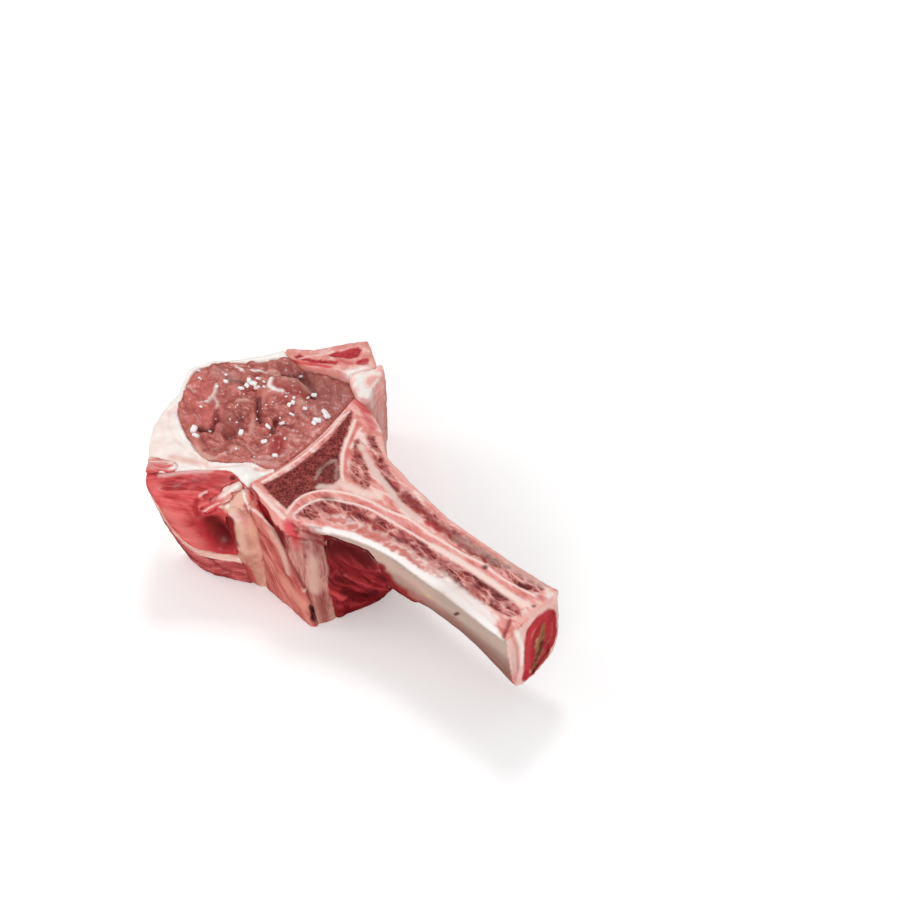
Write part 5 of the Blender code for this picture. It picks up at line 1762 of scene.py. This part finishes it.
TOP_MARKS = (
    Mark(((346, 410), (329, 429), (319, 438), (300, 454), (279, 467), (252, 481)), 0.7,
         Tone.BONE_LIGHT, 1.0, 0.1, 0.5, 0.03),
    Mark(((347, 411), (334, 426), (320, 439), (300, 456), (280, 468), (256, 482)), 1.1,
         Tone.BONE_PINK, 0.5, 0.0, 0.6, 0.05),
    Mark(((349, 412), (339, 420), (331, 431), (320, 441), (300, 458), (282, 470), (262, 482)), 0.6,
         Tone.BONE_LIGHT, 1.0, 0.1, 0.5, 0.03),
    Mark(((355, 420), (350, 434), (346, 444), (343, 454), (342, 471), (343, 480)), 0.9,
         Tone.BONE_LIGHT, 1.0, 0.1),
    Mark(((358, 424), (353, 436), (349, 446), (346, 458), (345, 474)), 1.2, Tone.BONE_PINK, 0.75, 0.0),
    Mark(((361, 428), (354, 440), (351, 448)), 0.7, Tone.BONE_LIGHT, 0.9, 0.0),
    Mark(((253, 487), (262, 496), (276, 510), (284, 518)), 1.3, Tone.BONE_LIGHT, 0.9, 0.1),
    Mark(((320, 486), (332, 487), (342, 482)), 2.2, Tone.GREY_LINE, 0.85, 0.0, 0.8, 0.6),
    Mark(((346, 486), (360, 492), (378, 496)), 3.0, Tone.BONE_LIGHT, 0.8, 0.0, 0.9, 0.6),
    Mark(((287, 513), (295, 502), (304, 495), (319, 491), (332, 491), (350, 494), (369, 501),
          (389, 511), (409, 519), (427, 532), (445, 543), (465, 555), (483, 564), (503, 579),
          (537, 597)), 0.8, Tone.BONE_LIGHT, 1.0, 0.1, 0.5, 0.05),
    Mark(((290, 514), (300, 503), (312, 496), (325, 494), (345, 497), (365, 503), (385, 513),
          (405, 525), (425, 537), (442, 547), (465, 559), (485, 570), (504, 583), (531, 597)), 1.5,
         Tone.BONE_PINK, 0.3, 0.0, 0.9, 0.1),
    Mark(((293, 516), (301, 508), (314, 501), (327, 499), (350, 503), (369, 509), (389, 520),
          (411, 533), (441, 551)), 0.8, Tone.BONE_LIGHT, 0.9, 0.1, 0.6, 0.1),
    Mark(((433, 546), (461, 562), (484, 577), (503, 591), (525, 604)), 2.1, Tone.BONE_LIGHT, 0.95, 0.1),
    Mark(((361, 446), (369, 462), (378, 475), (389, 489), (402, 506), (417, 518)), 2.0,
         Tone.GREY_LINE, 0.95, 0.0, 0.5),
    Mark(((379, 438), (386, 453), (396, 468), (412, 484), (432, 501), (452, 519), (475, 536),
          (500, 553), (528, 571), (552, 587)), 2.0, Tone.RIM_PINK, 0.9, 0.0),
    Mark(((427, 523), (434, 527), (440, 531)), 1.5, Tone.RED_STAIN, 0.85, 0.0),
    Mark(((359, 402), (366, 414), (373, 427)), 2.6, Tone.RED_STAIN, 0.7, 0.0, 0.9, 0.8),
    Mark(((404, 496), (426, 513), (446, 531), (470, 550)), 2.8, Tone.CLUMP, 0.8, 0.0, 0.9, 1.2),
    Mark(((457, 537), (485, 553), (514, 570), (543, 585)), 2.6, Tone.CLUMP_GREY, 0.55, 0.0, 0.9, 1.0),
    Mark(((316, 478), (320, 470), (333, 460), (337, 466), (336, 478)), 1.0, Tone.CLUMP_GREY, 0.7,
         0.0, 0.7, 0.5),
    Mark(((325, 466), (330, 474)), 4.5, Tone.END_BROWN, 0.4, 0.0, 0.9),
    Mark(((338, 519), (352, 524), (366, 531), (382, 538), (400, 549), (420, 561), (450, 581)), 3.0,
         Tone.BONE_LIGHT, 0.75, 0.0, 0.8, 1.0),
    # White band of the bone's near edge, with its painted highlight.
    Mark(((325, 530), (350, 534), (362, 539), (381, 547), (395, 555), (409, 564), (425, 575),
          (446, 589), (470, 608), (495, 630)), 1.9, Tone.WHITE_AND_HIGHLIGHT, 1.0, 0.0, 0.6, 0.2),
    Mark(((438, 577), (456, 590), (476, 606), (492, 620)), 3.4, Tone.WHITE_AND_HIGHLIGHT, 0.8, 0.0, 0.8, 0.8),
    Mark(((334, 518), (343, 521)), 2.0, Tone.BONE_DEEP, 0.85, -0.05, 0.6, 1.6),
    Mark(((349, 524), (358, 528)), 1.9, Tone.BONE_DEEP, 0.85, -0.05, 0.6, 1.6),
    Mark(((363, 530), (370, 534)), 2.2, Tone.BONE_DEEP, 0.85, -0.05, 0.6, 1.6),
    Mark(((374, 534), (381, 539)), 2.4, Tone.BONE_DEEP, 0.85, -0.05, 0.6, 1.6),
    Mark(((387, 544), (395, 550)), 2.0, Tone.BONE_DEEP, 0.85, -0.05, 0.6, 1.6),
    Mark(((399, 549), (409, 556)), 2.0, Tone.BONE_DEEP, 0.85, -0.05, 0.6, 1.6),
    Mark(((413, 560), (423, 568)), 1.6, Tone.BONE_DEEP, 0.7, 0.0, 0.8, 1.6),
    Mark(((429, 567), (441, 577)), 1.4, Tone.BONE_DEEP, 0.7, 0.0, 0.8, 1.0),
    Mark(((325, 497), (330, 499)), 2.4, Tone.END_BROWN, 0.5, -0.1, 0.8),
    Mark(((485, 567),), 1.6, Tone.CLEFT_SHADE_AND_DOT, 0.9, -0.3),
    Mark(((520, 584), (527, 587)), 1.9, Tone.CLEFT_SHADE_AND_DOT, 0.95, -0.3),
    Mark(((549, 597), (556, 599)), 2.2, Tone.WHITE_AND_HIGHLIGHT, 0.75, 0.0, 0.9, 0.4),
    Mark(((534, 606),), 1.1, Tone.CLEFT_SHADE_AND_DOT, 0.85, -0.2),
    Mark(((540, 597), (544, 599)), 2.2, Tone.RED_STAIN, 0.6, 0.0),
    Mark(((288, 519), (300, 522), (314, 525)), 1.4, Tone.RIM_PINK, 0.8, 0.0, 0.8),
    Mark(((287, 521), (293, 523), (300, 524)), 1.2, Tone.BRIGHT_STAIN, 0.75, 0.0, 0.9, 0.6),
    # Start of the same white band, with its painted highlight.
    Mark(((306, 526), (316, 527), (328, 531)), 1.1, Tone.WHITE_AND_HIGHLIGHT, 0.6, 0.0, 0.9),
)
WALL_MARKS = (
    # White along the rib's near edge, with its painted highlight.
    Mark(((312, 529), (328, 532)), 1.5, Tone.WHITE_AND_HIGHLIGHT, 0.6, 0.0, 0.9),
    Mark(((325, 530), (349, 536), (371, 544), (392, 555), (411, 569), (426, 579), (440, 588),
          (460, 603), (482, 621), (501, 637)), 1.7, Tone.WHITE_AND_HIGHLIGHT, 0.85, 0.0, 0.8),
    Mark(((289, 525), (293, 531), (296, 538)), 3.4, Tone.RED_STAIN, 0.95, 0.1, 0.9, 1.4),
    Mark(((288, 524), (290, 529), (293, 535)), 2.4, Tone.BRIGHT_STAIN, 0.85, 0.0, 0.9, 1.2),
    Mark(((296, 526), (298, 533)), 1.8, Tone.MAROON, 0.75, -0.2, 0.9, 1.2),
    Mark(((300, 526), (306, 528), (314, 530)), 1.5, Tone.END_RED, 0.6, 0.0, 0.9, 0.5),
    Mark(((303, 531), (308, 532)), 1.3, Tone.MAROON, 0.8, -0.2, 0.8),
    Mark(((312, 538), (325, 546)), 4.6, Tone.COLUMN_DEEP, 0.85, 0.0, 0.9, 0.8),
    Mark(((319, 541), (327, 546)), 2.0, Tone.RIB_MEAT, 0.85, 0.0, 0.9, 0.5),
    Mark(((310, 533), (322, 537), (334, 542), (348, 548), (364, 555)), 2.0, Tone.RIB_MEAT, 0.85,
         0.0, 0.9, 0.4),
    Mark(((386, 576), (396, 585), (406, 592), (413, 596)), 5.6, Tone.RIB_MEAT, 0.97, 0.8, 0.3, 1.0),
    Mark(((372, 558), (383, 566)), 2.4, Tone.RIB_MEAT, 0.92, 0.2, 0.5, 0.4),
    Mark(((376, 568), (390, 576)), 2.6, Tone.RIB_MEAT, 0.92, 0.2, 0.5, 0.4),
    Mark(((404, 590), (420, 600)), 3.0, Tone.RIB_MEAT_LIGHT, 0.6, 0.0, 0.9, 0.8),
    Mark(((428, 596),), 2.4, Tone.OCHRE, 0.8, 0.0, 0.8),
    Mark(((410, 583),), 1.0, Tone.SALMON, 0.8, 0.0, 0.8),
    # Painted shade on the rib's wall in bands, darker toward its bottom.
    Mark(((446, 603), (460, 615), (475, 629), (490, 643), (499, 651)), 7.4, Tone.WALL_SHADE, 0.45, 0.0,
         1.0, 0.5),
    Mark(((414, 594), (430, 603), (446, 614), (458, 624)), 3.0, Tone.WALL_BROWN, 0.6, 0.0, 0.9, 0.5),
    Mark(((452, 619), (464, 629), (476, 639), (490, 653), (506, 669)), 5.6, Tone.WALL_LOW_SHADE, 0.4, 0.0,
         1.0, 0.5),
    Mark(((455, 614), (459, 613)), 0.9, Tone.END_BROWN, 0.9, 0.1, 0.5),
    Mark(((484, 652), (494, 661), (506, 673)), 1.6, Tone.MAROON, 0.2, 0.0, 0.9, 0.6),
    Mark(((510, 620), (507, 629), (503, 637)), 1.0, Tone.MAROON, 0.85, -0.5, 0.8),
    Mark(((516, 632), (520, 641), (522, 650), (522, 664)), 1.5, Tone.WHITE_FAT, 0.8, 0.0, 0.8),
    Mark(((511, 631), (514, 641), (517, 652), (518, 667), (516, 678)), 1.3, Tone.BONE_PINK, 0.55, 0.0,
         0.8),
    Mark(((546, 613), (538, 620), (531, 628), (528, 638), (527, 650), (527, 664), (525, 677)), 3.0,
         Tone.END_RED, 1.0, 0.0, 0.4, 0.2),
    Mark(((527, 676), (537, 667), (547, 655)), 2.2, Tone.END_RED, 1.0, 0.0, 0.5, 0.4),
    Mark(((547, 622), (545, 636), (542, 650)), 3.6, Tone.END_RED, 1.0, 0.0, 0.5, 0.2),
    Mark(((546, 614), (536, 624), (529, 636), (527, 652), (527, 666)), 2.4, Tone.RED_STAIN, 0.6, 0.0,
         0.9, 0.6),
    Mark(((541, 629), (539, 637)), 3.2, Tone.END_TAN, 0.95, -0.1, 0.5, 1.0),
    Mark(((539, 640), (538, 652)), 4.2, Tone.END_TAN, 0.95, -0.1, 0.5, 1.4),
    Mark(((536, 656), (534, 665)), 2.8, Tone.END_TAN, 0.9, -0.1, 0.6, 1.0),
    Mark(((542, 643), (541, 646)), 2.4, Tone.END_BROWN, 0.95, -0.1, 0.5, 0.8),
    Mark(((538, 651), (537, 655)), 2.1, Tone.END_BROWN, 0.9, -0.1, 0.6, 0.9),
    Mark(((535, 659), (534, 664)), 1.5, Tone.END_BROWN, 0.9, -0.1, 0.5, 0.6),
    # The near-black hollow marks here paint shade into pits of the rib's sawn end.
    Mark(((548, 643), (546, 648)), 1.3, Tone.HOLLOW_SHADE, 0.95, -0.1, 0.4, 0.5),
    Mark(((542, 632), (541, 637)), 1.2, Tone.END_BROWN, 0.5, 0.0, 0.9, 0.8),
    Mark(((536, 638), (535, 645)), 1.2, Tone.OCHRE, 0.5, 0.0, 0.9, 0.8),
    Mark(((547, 651), (540, 660), (533, 670)), 2.0, Tone.HOLLOW_SHADE, 0.95, -0.1, 0.6, 0.8),
    Mark(((512, 677), (514, 684)), 2.0, Tone.RED_STAIN, 0.5, 0.0, 0.9, 0.6),
    Mark(((520, 622), (535, 610), (552, 600)), 1.6, Tone.RIM_PINK, 0.85, 0.0, 0.8),
)
FEATHER_MARKS = (
    Mark(((286, 365), (305, 371), (325, 375), (344, 382)), 4.4, Tone.FEATHER_PINK, 0.9, 0.0, 0.7, 0.4),
    Mark(((294, 362), (312, 364), (330, 367)), 1.5, Tone.FLAP, 0.9, -0.2),
    Mark(((300, 358), (318, 355), (332, 352)), 1.0, Tone.FEATHER_LIGHT, 0.8, 0.1),
    Mark(((336, 358), (344, 362), (352, 364)), 1.6, Tone.RED_STAIN, 0.6, 0.0, 0.8),
    Mark(((350, 374), (364, 372), (377, 377)), 4.0, Tone.WHITE_FAT, 0.85, 0.0, 0.9),
    Mark(((300, 371), (322, 375), (345, 381)), 0.9, Tone.FEATHER_LIGHT, 0.8, 0.1),
    Mark(((303, 377), (322, 380), (338, 384), (352, 392)), 1.1, Tone.WHITE_FAT, 0.9, 0.1),
)
FEATHER_FAT_MARKS = (
    Mark(((376, 384), (381, 405), (382, 435)), 6.0, Tone.FEATHER_PINK, 0.4, 0.0, 0.9, 0.6),
    Mark(((358, 378), (361, 388), (363, 400)), 2.6, Tone.WHITE_FAT, 0.95, 0.0, 0.9),
    Mark(((360, 378), (370, 374), (378, 374)), 1.8, Tone.WHITE_FAT, 0.85, 0.0, 0.9),
    Mark(((365, 400), (370, 390), (377, 380)), 0.9, Tone.WHITE_FAT, 0.8, 0.1),
    Mark(((368, 405), (375, 393), (383, 385)), 1.0, Tone.FEATHER_LIGHT, 0.9, 0.1),
    Mark(((371, 412), (379, 398), (387, 390)), 0.9, Tone.STRIP, 0.7, -0.1),
    Mark(((388, 382), (389, 400), (387, 437)), 2.0, Tone.RED_STAIN, 0.6, 0.3, 0.8, 0.8),
    Mark(((364, 402), (372, 420), (378, 432)), 2.6, Tone.RED_STAIN, 0.6, 0.0, 0.9, 0.8),
)


def cutlet_pieces() -> list[Tissue]:
    """List the pieces of the cutlet, from the eye to the feather bone.

    Returns:
        The pieces, in the order in which they are built.
    """
    marrow = ("body_marrow", "mid_marrow", "near_marrow", "far_marrow", "end_marrow", "end_core")
    feather_marrow = ("feather_marrow_line", "feather_marrow_wide", "feather_marrow_small")
    return [
        EyeMuscle("eye", ("eye_muscle",), "lean_meat", EYE_FINISH, marks=EYE_MARKS),
        Tissue("fat_cover", ("fat_cap",), "fat", FAT_FINISH, marks=FAT_MARKS,
               unevenness=((0.45, 6.0), (0.04, 1.8))),
        Tissue("strip", ("strip_muscle",), "lean_meat", STRIP_FINISH, marks=STRIP_MARKS),
        Tissue("flap", ("flap_muscle",), "lean_meat", FLAP_FINISH, marks=FLAP_MARKS,
               unevenness=((0.4, 6.0), (0.06, 1.6))),
        Tissue("flap_layer", ("flap_fat",), "fat", FLAP_FAT_FINISH, growth=0.25, marks=LAYER_MARKS),
        Tissue("flap_foot", ("flap_lower_muscle",), "lean_meat", LOWER_FINISH, marks=LOWER_MARKS,
               unevenness=((0.4, 4.5), (0.06, 1.5))),
        Tissue("slab", ("fat_slab",), "fat", SLAB_FINISH, marks=SLAB_MARKS,
               growth=0.5, unevenness=((0.5, 4.5), (0.05, 1.8)), calm=10),
        Tissue("tendon", ("tendon_band",), "sinew", SINEW_FINISH, cell=0.35, growth=0.4,
               marks=TENDON_MARKS, unevenness=((0.25, 3.0),), calm=22),
        Tissue("leaf", ("lamella",), "sinew", LAMELLA_FINISH, cell=0.4, marks=LAMELLA_MARKS),
        Tissue("slit", ("slit_meat",), "dark_meat", SLIT_FINISH, growth=1.1, marks=SLIT_MARKS),
        Tissue("column", ("chine_column",), "bone", COLUMN_FINISH, growth=0.6, marks=COLUMN_MARKS,
               calm=4),
        Tissue("rib_meat", ("intercostal_meat",), "dark_meat", RIB_MEAT_FINISH, growth=0.55,
               marks=RIB_MEAT_MARKS, unevenness=((0.4, 4.5), (0.08, 1.5))),
        SawnBone("sawn_bone", ("bone", *marrow), "bone", BONE_FINISH, cell=0.42, growth=0.05,
                 marks=WALL_MARKS, calm=3, top_marks=TOP_MARKS),
        FeatherBone("feather", ("feather_bone", *feather_marrow), "bone", FEATHER_FINISH,
                    growth=0.1, marks=FEATHER_MARKS, unevenness=((0.15, 4.0),), calm=3),
        Tissue("feather_side", ("feather_fat",), "fat", FEATHER_SIDE_FINISH, marks=FEATHER_FAT_MARKS,
               calm=16),
    ]


def main() -> None:
    """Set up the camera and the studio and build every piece."""
    SIGHT.set_camera()
    Studio().build()
    for piece in cutlet_pieces():
        thing = piece.build()
        log.info("%s: %d faces for %s", piece.name, len(thing.data.polygons), ", ".join(piece.nodes))
        if isinstance(piece, EyeMuscle):
            salt = Salt().build(thing)
            log.info("%s: %d faces", salt.name, len(salt.data.polygons))


if __name__ == "__main__":
    main()
